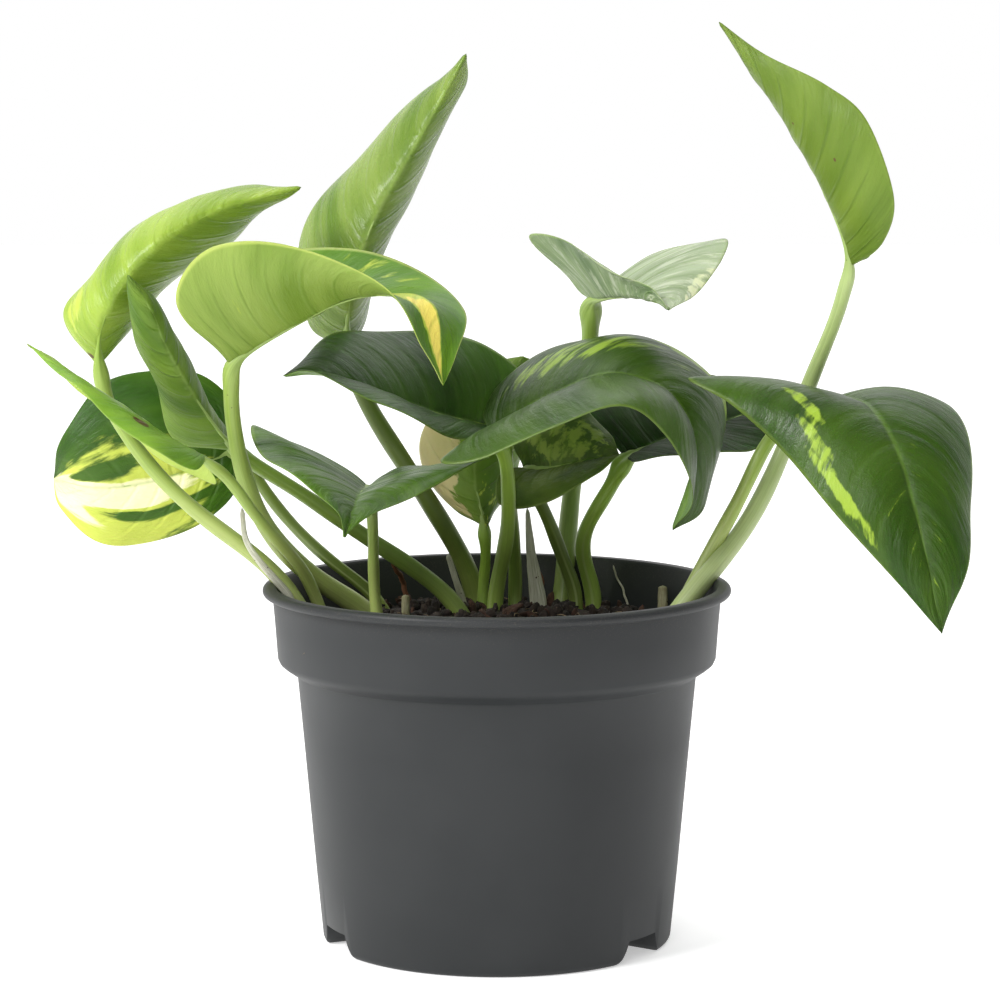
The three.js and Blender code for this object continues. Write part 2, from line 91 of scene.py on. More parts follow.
soft_lamp("key_lamp", (-1.0, -0.75, 0.95), 0.6, 22)
soft_lamp("front_lamp", (-0.2, -1.5, 0.9), 0.7, 7)
sky_data = bpy.data.lights.new("overhead_light", "SUN")
sky_data.energy = 1.3
sky_data.angle = math.radians(70)
sky = bpy.data.objects.new("overhead_light", sky_data)
sky.rotation_euler = (math.radians(-20), 0, 0)
bpy.context.collection.objects.link(sky)
print("two soft lamps and a wide overhead light")


# %% [markdown]
# ## Helpers
# Blender's operators act on whatever is selected, so each step first selects one piece alone.
# The finishes are built from nodes. `wire` adds one node and fills its inputs: a socket is linked, and a
# plain value is typed in. With it a chain of nodes reads like a sum.

# %% Selecting and finishing a piece
WELD_DISTANCE = 0.01 * MM


def pick(thing):
    """Select this object alone and make it the active one."""
    bpy.ops.object.select_all(action="DESELECT")
    thing.select_set(True)
    bpy.context.view_layer.objects.active = thing


def edit_all(thing):
    """Open this object for editing, with all of its mesh selected."""
    pick(thing)
    bpy.ops.object.mode_set(mode="EDIT")
    bpy.ops.mesh.select_all(action="SELECT")


def weld(thing, recalculate=True):
    """Merge the points that lie on each other, and turn a closed skin's faces outwards."""
    edit_all(thing)
    bpy.ops.mesh.remove_doubles(threshold=WELD_DISTANCE)
    if recalculate:
        bpy.ops.mesh.normals_make_consistent(inside=False)
    bpy.ops.object.mode_set(mode="OBJECT")


def settle(thing, slot, *nodes):
    """Hang a finished piece on the frame's root body and hide the nodes it stands for. The slot is not
    used.
    """
    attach(thing, "root")
    if nodes:
        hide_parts(*nodes)


# %% Building finishes from nodes
def wire(tree, kind, inputs, **settings):
    """Add a node with these settings. An input is either linked to a socket or typed in."""
    node = tree.nodes.new(kind)
    for name, value in settings.items():
        setattr(node, name, value)
    for key, value in inputs.items():
        if isinstance(value, bpy.types.NodeSocket):
            tree.links.new(value, node.inputs[key])
        else:
            node.inputs[key].default_value = value
    return node


def maths(tree, operation, first, second=0.0, third=0.0):
    """One sum with up to three numbers."""
    return wire(tree, "ShaderNodeMath", {0: first, 1: second, 2: third}, operation=operation).outputs[0]


def rise(tree, value, low, high):
    """A smooth step from 0 at `low` to 1 at `high`."""
    inputs = {"Value": value, "From Min": low, "From Max": high}
    return wire(tree, "ShaderNodeMapRange", inputs, interpolation_type="SMOOTHSTEP").outputs[0]


def fall(tree, value, low, high):
    """A smooth step from 1 at `low` to 0 at `high`."""
    return maths(tree, "SUBTRACT", 1.0, rise(tree, value, low, high))


def spread(tree, value, reach, results):
    """A straight change from the first result, where the reach starts, to the second, where it ends."""
    (low, high), (first, last) = reach, results
    inputs = {"Value": value, "From Min": low, "From Max": high, "To Min": first, "To Max": last}
    return wire(tree, "ShaderNodeMapRange", inputs).outputs[0]


def coordinates(tree, kind):
    """The places that a pattern follows: `UV` on a skin, `Object` in space, `Generated` for the world."""
    return wire(tree, "ShaderNodeTexCoord", {}).outputs[kind]


def clouded(tree, place, scale, detail, **more):
    """Soft noise from 0 to 1. A larger scale makes it finer, and more detail makes it crumblier."""
    inputs = {"Vector": place, "Scale": scale, "Detail": detail, **more}
    return wire(tree, "ShaderNodeTexNoise", inputs).outputs[0]


def mixed(tree, share, first, second):
    """The first colour where the share is 0 and the second where it is 1."""
    return wire(tree, "ShaderNodeMix", {0: share, 6: first, 7: second}, data_type="RGBA").outputs[2]


def rgb(red, green, blue):
    """A colour as its red, green and blue light, each from 0 to 1."""
    return (red, green, blue, 1)


def new_group(name, inputs, outputs):
    """An empty node group with named sockets. Gives the group, what comes in and what goes out."""
    group = bpy.data.node_groups.new(name, "ShaderNodeTree")
    for socket_name, kind, start in inputs:
        socket = group.interface.new_socket(socket_name, in_out="INPUT", socket_type="NodeSocket" + kind)
        socket.default_value = start
    for socket_name, kind in outputs:
        group.interface.new_socket(socket_name, in_out="OUTPUT", socket_type="NodeSocket" + kind)
    coming_in = group.nodes.new("NodeGroupInput").outputs
    going_out = group.nodes.new("NodeGroupOutput").inputs
    return group, coming_in, going_out


def place_group(tree, group, inputs):
    """Place a node group in a material, with this material's own values. Gives its outputs."""
    return wire(tree, "ShaderNodeGroup", inputs, node_tree=group).outputs


def new_material(name):
    """A material with an empty node tree apart from its shader. Gives the material, tree and shader."""
    material = bpy.data.materials.new(name)
    material.use_nodes = True
    tree = material.node_tree
    return material, tree, tree.nodes["Principled BSDF"]


def add_bump(tree, shader, height, strength, distance):
    """Let this height tilt the skin. The distance, in metres, is how high a height of 1 stands."""
    bump = wire(tree, "ShaderNodeBump", {"Height": height, "Strength": strength, "Distance": distance})
    tree.links.new(bump.outputs[0], shader.inputs["Normal"])


def make_fleshy(shader, weight):
    """Let some of the light into the tissue, where it spreads about a millimetre and turns green."""
    shader.inputs["Subsurface Weight"].default_value = weight
    shader.inputs["Subsurface Scale"].default_value = 2 * MM
    shader.inputs["Subsurface Radius"].default_value = (0.6, 1.0, 0.3)


print("helpers ready")

# %% World
BACKDROP = 1.0
ROOM = 0.15
world = bpy.data.worlds.new("studio")
world.use_nodes = True
world_tree = world.node_tree
direction = coordinates(world_tree, "Generated")
backwards = wire(world_tree, "ShaderNodeSeparateXYZ", {0: direction}).outputs[1]
glow = spread(world_tree, backwards, (-0.2, 0.6), (ROOM, BACKDROP))
seen = wire(world_tree, "ShaderNodeLightPath", {}).outputs["Is Camera Ray"]
strength = maths(world_tree, "MAXIMUM", glow, seen)
world_tree.links.new(strength, world_tree.nodes["Background"].inputs["Strength"])
world_tree.nodes["Background"].inputs["Color"].default_value = rgb(1, 1, 1)
bpy.context.scene.world = world
print("the world is", BACKDROP, "behind the plant and", ROOM, "in front")

# %% [markdown]
# ## Leaf finishes
# A pothos leaf is waxy and glossy above, paler and duller below. Its side veins leave the midrib at a
# slant and bend towards the tip, and the yellow and cream marks of this variety run along them in ragged
# streaks, as if brushed. So the pattern has to follow the leaf and not the world: every blade has a UV map
# that runs from stalk to tip (U) and from the right margin to the left one (V).
# One group turns the UV map into places on a leaf: how far along, how far to the side, and which side
# vein runs there. The other groups read those places, and all fifteen leaves share them.

# %% Group: places on a leaf
VEIN_SWEEP = 0.17
VEIN_BEND = 1.35
VEIN_STAGGER = 0.25


def build_leaf_map():
    """UV in. Along, Side (-1 right margin, 1 left), Across (0 midrib, 1 margin), Vein and Flow out."""
    inputs = [("UV", "Vector", (0, 0, 0)), ("Grain Along", "Float", 70), ("Grain Side", "Float", 5)]
    outputs = [(name, "Float") for name in ("Along", "Side", "Across", "Vein")] + [("Flow", "Vector")]
    group, given, result = new_group("leaf_map", inputs, outputs)
    parts = wire(group, "ShaderNodeSeparateXYZ", {0: given["UV"]}).outputs
    side = maths(group, "MULTIPLY_ADD", parts[1], 2.0, -1.0)
    across = maths(group, "ABSOLUTE", side)
    swept = maths(group, "MULTIPLY", maths(group, "POWER", across, VEIN_BEND), VEIN_SWEEP)
    vein = maths(group, "SUBTRACT", parts[0], swept)
    grain_along = maths(group, "MULTIPLY", vein, given["Grain Along"])
    grain_side = maths(group, "MULTIPLY", side, given["Grain Side"])
    flow = wire(group, "ShaderNodeCombineXYZ", {0: grain_along, 1: grain_side}).outputs[0]
    for number, value in enumerate((parts[0], side, across, vein, flow)):
        group.links.new(value, result[number])
    return group


LEAF_MAP = build_leaf_map()
leaf_map_sockets = LEAF_MAP.interface.items_tree
print("leaf_map gives", [socket.name for socket in leaf_map_sockets if socket.in_out == "OUTPUT"])


# %% Group: side veins
def build_leaf_veins():
    """Thin lines where the side veins run, and a soft line along the midrib."""
    inputs = [("Vein", "Float", 0), ("Side", "Float", 0), ("Across", "Float", 0),
              ("Flow", "Vector", (0, 0, 0)), ("Pairs", "Float", 9), ("Width", "Float", 0.12)]
    group, given, result = new_group("leaf_veins", inputs, [("Lines", "Float"), ("Midrib", "Float")])
    wander = clouded(group, given["Flow"], 0.07, 1.0)
    shifted = maths(group, "MULTIPLY_ADD", wander, 0.05, given["Vein"])
    stagger = maths(group, "MULTIPLY", maths(group, "SIGN", given["Side"]), VEIN_STAGGER)
    count = maths(group, "MULTIPLY_ADD", shifted, given["Pairs"], stagger)
    distance = maths(group, "PINGPONG", count, 0.5)
    line = fall(group, distance, 0.0, given["Width"])
    fade = fall(group, given["Across"], 0.55, 0.97)
    group.links.new(maths(group, "MULTIPLY", line, fade), result["Lines"])
    group.links.new(fall(group, given["Across"], 0.0, 0.04), result["Midrib"])
    return group


LEAF_VEINS = build_leaf_veins()
print("side veins and midrib ready")


# %% Group: a marked area, and the ragged streaks in it
STREAK_LEVEL = 0.75


def build_marked_area():
    """How close a place is to the middle of an area: 1 round its middle, 0 from its edge outwards."""
    inputs = [("Along", "Float", 0), ("Side", "Float", 0), ("Centre Along", "Float", 0.5),
              ("Centre Side", "Float", 0), ("Reach Along", "Float", 0.2), ("Reach Side", "Float", 0.2)]
    group, given, result = new_group("marked_area", inputs, [("Nearness", "Float")])
    squares = 0.0
    for way in ("Along", "Side"):
        offset = maths(group, "SUBTRACT", given[way], given["Centre " + way])
        share = maths(group, "DIVIDE", offset, given["Reach " + way])
        squares = maths(group, "MULTIPLY_ADD", share, share, squares)
    away = maths(group, "SQRT", squares)
    group.links.new(spread(group, away, (0.4, 1.0), (1.0, 0.0)), result["Nearness"])
    return group


def build_streaks():
    """Ragged marks along the veins. Where Amount is higher there are more of them."""
    inputs = [("Flow", "Vector", (0, 0, 0)), ("Seed", "Float", 0), ("Amount", "Float", 0),
              ("Fineness", "Float", 0.3), ("Softness", "Float", 0.03)]
    group, given, result = new_group("streaks", inputs, [("Mask", "Float")])
    seed, softness = given["Seed"], given["Softness"]
    shift = wire(group, "ShaderNodeCombineXYZ", {0: seed, 1: seed, 2: seed}).outputs[0]
    moved = wire(group, "ShaderNodeVectorMath", {0: given["Flow"], 1: shift}, operation="ADD").outputs[0]
    grain = clouded(group, moved, given["Fineness"], 5.0, Roughness=0.62, Distortion=0.25)
    level = maths(group, "ADD", grain, given["Amount"])
    low = maths(group, "SUBTRACT", STREAK_LEVEL, softness)
    high = maths(group, "ADD", STREAK_LEVEL, softness)
    group.links.new(rise(group, level, low, high), result["Mask"])
    return group


MARKED_AREA = build_marked_area()
STREAKS = build_streaks()
print("marks ready")


# %% Group: skin of a leaf
CELL_HEIGHT = 0.10
WAVE_HEIGHT = 0.45
CREASE_HEIGHT = 0.9


def build_leaf_skin():
    """Creases along the veins, fine cells and slow waves of the leaf's skin, as height and shine."""
    inputs = [("Flow", "Vector", (0, 0, 0)), ("Lines", "Float", 0), ("Vein Height", "Float", -0.5),
              ("Dull", "Float", 0.3), ("Duller", "Float", 0.4)]
    group, given, result = new_group("leaf_skin", inputs, [("Height", "Float"), ("Roughness", "Float")])
    place = coordinates(group, "Object")
    cells = clouded(group, place, 2600.0, 2.0)
    waves = clouded(group, place, 220.0, 3.0)
    creases = clouded(group, given["Flow"], 0.55, 4.0, Roughness=0.6)
    fine = maths(group, "MULTIPLY", cells, CELL_HEIGHT)
    height = maths(group, "MULTIPLY_ADD", given["Lines"], given["Vein Height"], fine)
    height = maths(group, "MULTIPLY_ADD", waves, WAVE_HEIGHT, height)
    height = maths(group, "MULTIPLY_ADD", creases, CREASE_HEIGHT, height)
    group.links.new(height, result["Height"])
    uneven = maths(group, "MULTIPLY_ADD", creases, 0.6, maths(group, "MULTIPLY", waves, 0.4))
    shine = spread(group, uneven, (0.35, 0.65), (given["Dull"], given["Duller"]))
    group.links.new(shine, result["Roughness"])
    return group


LEAF_SKIN = build_leaf_skin()
print("leaf skin ready")

# %% [markdown]
# ## One finish for each face of each leaf
# A leaf's look is a short list: its two greens, the two paler colours of its marks, how much of the
# leaf they cover, and a few marked areas, each with its middle and its reach on the leaf.
# The same marks, in the same colours, show on both faces.

# %% Leaf materials
CREAM = rgb(0.86, 0.83, 0.50)
YELLOW = rgb(0.58, 0.66, 0.10)
LIME = rgb(0.30, 0.46, 0.06)
DARK_GREEN = rgb(0.030, 0.080, 0.010)
MID_GREEN = rgb(0.060, 0.145, 0.016)
UNDER_GREEN = rgb(0.200, 0.340, 0.060)
UNDER_DARK = rgb(0.110, 0.210, 0.045)
CREAM_SEED_STEP = 40
WAX_GLOSS = 0.27
FACES = {
    "upper": {"vein_width": 0.16, "vein_height": -0.3, "shine": "shine"},
    "under": {"vein_width": 0.10, "vein_height": 0.35, "shine": "under_shine"},
}


def nearness(tree, places, patch):
    """How near each place of a leaf is to the middle of this patch: a marked area or a scar."""
    (at_along, at_side), (reach_along, reach_side) = patch["at"], patch["reach"]
    inputs = {"Along": places["Along"], "Side": places["Side"], "Centre Along": at_along,
              "Centre Side": at_side, "Reach Along": reach_along, "Reach Side": reach_side}
    return place_group(tree, MARKED_AREA, inputs)[0]


def marks(tree, places, areas, which):
    """How much of a leaf's marks there is at each place: the areas' nearness times their strength."""
    total = 0.0
    for patch in areas:
        if patch[which]:
            total = maths(tree, "MULTIPLY_ADD", nearness(tree, places, patch), patch[which], total)
    return total


def leaf_colour(tree, look, face, places, veins):
    """The colour of one face: two greens, two kinds of streaks, the veins, the margin and the scars."""
    dark, green = look[face]
    flow = places["Flow"]
    colour = mixed(tree, rise(tree, clouded(tree, flow, 0.09, 4.0), 0.35, 0.65), dark, green)
    for which, seed in (("light", look["seed"]), ("cream", look["seed"] + CREAM_SEED_STEP)):
        amount = maths(tree, "ADD", marks(tree, places, look["areas"], which), look[which + "_all"])
        mask = place_group(tree, STREAKS, {"Flow": flow, "Seed": seed, "Amount": amount,
                                           "Fineness": look["fineness"], "Softness": look["softness"]})[0]
        colour = mixed(tree, mask, colour, look[which])
    shares = {
        face + "_vein": maths(tree, "MULTIPLY", veins["Lines"], look["vein_share"]),
        face + "_rib": maths(tree, "MULTIPLY", veins["Midrib"], look["rib_share"]),
        "margin": maths(tree, "MULTIPLY", rise(tree, places["Across"], 0.955, 0.99), look["margin_share"]),
    }
    for part, share in shares.items():
        colour = mixed(tree, share, colour, look[part])
    for patch in look["scars"]:
        colour = mixed(tree, rise(tree, nearness(tree, places, patch), 0.2, 0.6), colour, patch["tint"])
    return colour


def leaf_material(name, look, face):
    """The finish of one face, `upper` or `under`, of one leaf."""
    material, tree, shader = new_material(name)
    finish = FACES[face]
    grain_along, grain_side = look["grain"]
    uv = coordinates(tree, "UV")
    places = place_group(tree, LEAF_MAP, {"UV": uv, "Grain Along": grain_along, "Grain Side": grain_side})
    inputs = {socket: places[socket] for socket in ("Vein", "Side", "Across", "Flow")}
    inputs.update({"Pairs": look["pairs"], "Width": finish["vein_width"]})
    veins = place_group(tree, LEAF_VEINS, inputs)
    dull, duller = look[finish["shine"]]
    skin = place_group(tree, LEAF_SKIN, {
        "Flow": places["Flow"], "Lines": veins["Lines"], "Vein Height": finish["vein_height"],
        "Dull": dull, "Duller": duller})
    tree.links.new(leaf_colour(tree, look, face, places, veins), shader.inputs["Base Color"])
    tree.links.new(skin["Roughness"], shader.inputs["Roughness"])
    add_bump(tree, shader, skin["Height"], 0.8, 0.6 * MM)
    shader.inputs["Specular IOR Level"].default_value = WAX_GLOSS
    make_fleshy(shader, 0.12)
    return material


PLAIN_LOOK = {
    "upper": (DARK_GREEN, MID_GREEN), "under": (UNDER_DARK, UNDER_GREEN),
    "light": LIME, "cream": CREAM, "light_all": -0.1, "cream_all": -0.3, "grain": (70, 5),
    "areas": [], "scars": [], "fineness": 0.3, "softness": 0.03, "seed": 0, "pairs": 9,
    "vein_share": 0.2, "upper_vein": rgb(0.09, 0.17, 0.02), "under_vein": rgb(0.16, 0.26, 0.05),
    "rib_share": 0.35, "upper_rib": rgb(0.16, 0.27, 0.05), "under_rib": rgb(0.32, 0.44, 0.12),
    "margin": rgb(0.35, 0.45, 0.12), "margin_share": 0.2,
    "shine": (0.27, 0.44), "under_shine": (0.38, 0.52), "wave": 0.8, "thickness": 0.5,
}


def area(at, reach, light=0.0, cream=0.0):
    """A marked area: its middle and its reach, along and to the side, and how strong its marks are."""
    return {"at": at, "reach": reach, "light": light, "cream": cream}


def scar(at, reach, tint):
    """A small damaged spot."""
    return {"at": at, "reach": reach, "tint": tint}


BROWN = rgb(0.10, 0.05, 0.02)
GOLD = rgb(0.74, 0.62, 0.12)
LOOKS = {
    "far_left": {
        "upper": (rgb(0.022, 0.062, 0.004), rgb(0.052, 0.120, 0.008)), "light": rgb(0.52, 0.58, 0.09),
        "light_all": -0.2, "cream_all": -0.3, "seed": 3, "softness": 0.11, "grain": (15, 22),
        "fineness": 0.3, "areas": [
            area((0.74, 0.38), (0.70, 1.25), light=0.80),
            area((0.74, -0.20), (0.20, 0.18), light=-0.55, cream=-0.5),
            area((0.52, 0.50), (0.30, 0.15), light=-0.55, cream=-0.8),
            area((0.68, 0.18), (0.50, 0.36), cream=0.95),
            area((1.00, 0.10), (0.32, 0.85), cream=0.90),
            area((0.86, 0.72), (0.30, 0.30), cream=0.60),
        ],
        "shine": (0.35, 0.5), "margin_share": 0.0, "vein_share": 0.05,
    },
    "upper_left": {
        "under": (rgb(0.19, 0.30, 0.028), rgb(0.31, 0.43, 0.06)), "light": rgb(0.44, 0.52, 0.08),
        "seed": 5, "areas": [area((0.18, -0.65), (0.22, 0.35), light=0.32)], "softness": 0.08,
        "vein_share": 0.10, "under_vein": rgb(0.17, 0.28, 0.03), "under_shine": (0.22, 0.38),
        "under_rib": rgb(0.28, 0.42, 0.05), "scars": [scar((0.06, -0.4), (0.02, 0.25), BROWN)],
    },
    "front_left": {
        "under": (rgb(0.155, 0.24, 0.028), rgb(0.24, 0.33, 0.06)), "light": rgb(0.42, 0.50, 0.06),
        "upper": (rgb(0.055, 0.14, 0.008), rgb(0.12, 0.25, 0.012)), "cream": GOLD, "seed": 7,
        "areas": [
            area((0.70, -0.05), (0.13, 0.26), light=0.50),
            area((0.79, -0.18), (0.14, 0.26), light=0.60, cream=0.55),
            area((0.90, -0.22), (0.16, 0.34), light=0.65, cream=0.65),
            area((0.58, 0.80), (0.22, 0.30), light=0.26),
            area((0.20, -0.30), (0.40, 0.80), light=0.14),
        ],
        "vein_share": 0.18, "under_vein": rgb(0.12, 0.22, 0.03), "margin": rgb(0.50, 0.56, 0.14),
        "margin_share": 0.5, "pairs": 12, "softness": 0.07,
        "scars": [scar((0.14, 0.9), (0.02, 0.06), BROWN)],
    },
    "folded_left": {
        "under": (rgb(0.08, 0.16, 0.014), rgb(0.16, 0.26, 0.03)), "seed": 9, "vein_share": 0.08,
        "upper": (rgb(0.08, 0.17, 0.02), rgb(0.12, 0.23, 0.03)),
    },
    "narrow_left": {
        "under": (rgb(0.32, 0.44, 0.06), rgb(0.42, 0.54, 0.10)), "seed": 11,
        "upper": (rgb(0.15, 0.29, 0.03), rgb(0.24, 0.40, 0.04)), "vein_share": 0.12,
        "scars": [scar((0.45, 0.5), (0.05, 0.15), BROWN)],
    },
    "low_front": {
        "seed": 13, "light": rgb(0.22, 0.36, 0.03), "softness": 0.08,
        "areas": [area((0.60, -0.1), (0.34, 0.45), light=0.24)],
        "upper": (rgb(0.034, 0.085, 0.005), rgb(0.075, 0.155, 0.010)), "vein_share": 0.10,
    },
    "centre_left": {
        "seed": 15, "upper": (rgb(0.022, 0.058, 0.005), rgb(0.042, 0.095, 0.009)), "vein_share": 0.12,
    },
    "centre_arching": {
        "seed": 17, "upper": (rgb(0.020, 0.052, 0.002), rgb(0.042, 0.090, 0.005)), "vein_share": 0.1,
        "light": rgb(0.24, 0.36, 0.035), "softness": 0.08, "fineness": 0.4,
        "areas": [
            area((0.38, 0.60), (0.36, 0.42), light=0.34),
            area((0.60, 1.0), (0.16, 0.18), light=0.6, cream=0.35),
        ],
    },
    "tall_centre": {
        "under": (rgb(0.105, 0.185, 0.018), rgb(0.21, 0.30, 0.055)), "seed": 19,
        "under_shine": (0.20, 0.38), "vein_share": 0.12, "under_rib": rgb(0.34, 0.48, 0.12),
    },
    "cream_centre": {
        "light": YELLOW, "seed": 21, "softness": 0.05, "cream": rgb(0.60, 0.50, 0.26),
        "under": (rgb(0.10, 0.17, 0.02), rgb(0.17, 0.25, 0.035)), "grain": (30, 12),
        "areas": [area((0.5, -0.7), (0.7, 0.75), cream=0.75), area((0.15, 0.2), (0.4, 0.8), light=0.25)],
        "vein_share": 0.1,
    },
    "under_centre": {
        "seed": 23, "grain": (34, 14), "light": rgb(0.21, 0.28, 0.045),
        "areas": [area((0.55, 0.45), (0.6, 0.8), light=0.36)],
        "upper": (rgb(0.045, 0.080, 0.010), rgb(0.095, 0.140, 0.018)), "shine": (0.45, 0.6),
        "vein_share": 0.1, "softness": 0.06,
    },
    # This leaf's grey-green colours, on both faces and in its pale streaks, are painted reflection: the
    # silvery sheen from the white backdrop at grazing angles, put into its colour. Its cream marks are its
    # own.
    "top_silver": {
        "upper": (rgb(0.20, 0.26, 0.13), rgb(0.32, 0.39, 0.23)), "light": rgb(0.42, 0.47, 0.32),
        "under": (rgb(0.13, 0.20, 0.08), rgb(0.24, 0.32, 0.15)),
        "cream": rgb(0.56, 0.60, 0.36), "seed": 25, "light_all": 0.18,
        "areas": [area((0.82, 0.9), (0.2, 0.35), cream=0.6)],
        "vein_share": 0.3, "shine": (0.32, 0.5), "fineness": 0.5, "softness": 0.08,
    },
    # The very dark upper greens of this leaf are partly its own deep green and partly painted shade: it
    # lies in the shade under the arching leaf in front of it.
    "dark_behind": {
        "seed": 27, "upper": (rgb(0.009, 0.022, 0.002), rgb(0.020, 0.044, 0.005)), "vein_share": 0.0,
        "under": (rgb(0.04, 0.09, 0.012), rgb(0.07, 0.13, 0.02)), "shine": (0.55, 0.7),
        "under_shine": (0.65, 0.8),
    },
    "right_large": {
        "seed": 29, "light": rgb(0.30, 0.43, 0.04), "fineness": 0.45, "softness": 0.09,
        "upper": (rgb(0.020, 0.050, 0.003), rgb(0.042, 0.088, 0.007)), "vein_share": 0.1,
        "areas": [
            area((0.44, -0.53), (0.11, 0.10), light=0.42),
            area((0.53, -0.66), (0.12, 0.10), light=0.36),
            area((0.63, -0.78), (0.13, 0.11), light=0.34),
            area((0.74, -0.82), (0.14, 0.16), light=0.30),
            area((0.78, 0.00), (0.34, 0.90), light=0.13),
        ],
    },
    "right_tall": {
        "under": (rgb(0.105, 0.17, 0.015), rgb(0.155, 0.23, 0.028)), "seed": 31, "vein_share": 0.35,
        "under_vein": rgb(0.065, 0.12, 0.012), "pairs": 10,
        "scars": [scar((0.45, 0.45), (0.008, 0.02), BROWN), scar((0.62, 0.2), (0.006, 0.015), BROWN)],
    },
}
for look_name, look in LOOKS.items():
    LOOKS[look_name] = {**PLAIN_LOOK, **look}
print("looks for", len(LOOKS), "leaves")

# %% [markdown]
# ## Leaves
# A leaf hangs between three lines: its midrib and its two margins, from the stalk to the tip. The frame
# has them with a few points each, and this script repeats those points, in millimetres.
# A blade starts as a flat grid, because a grid brings a tidy UV map with it. Each of its points is then
# moved to its place between the three lines. Solidify gives the tissue its thickness, more along the
# midrib than at the margin, and puts the lower face in the second material slot.

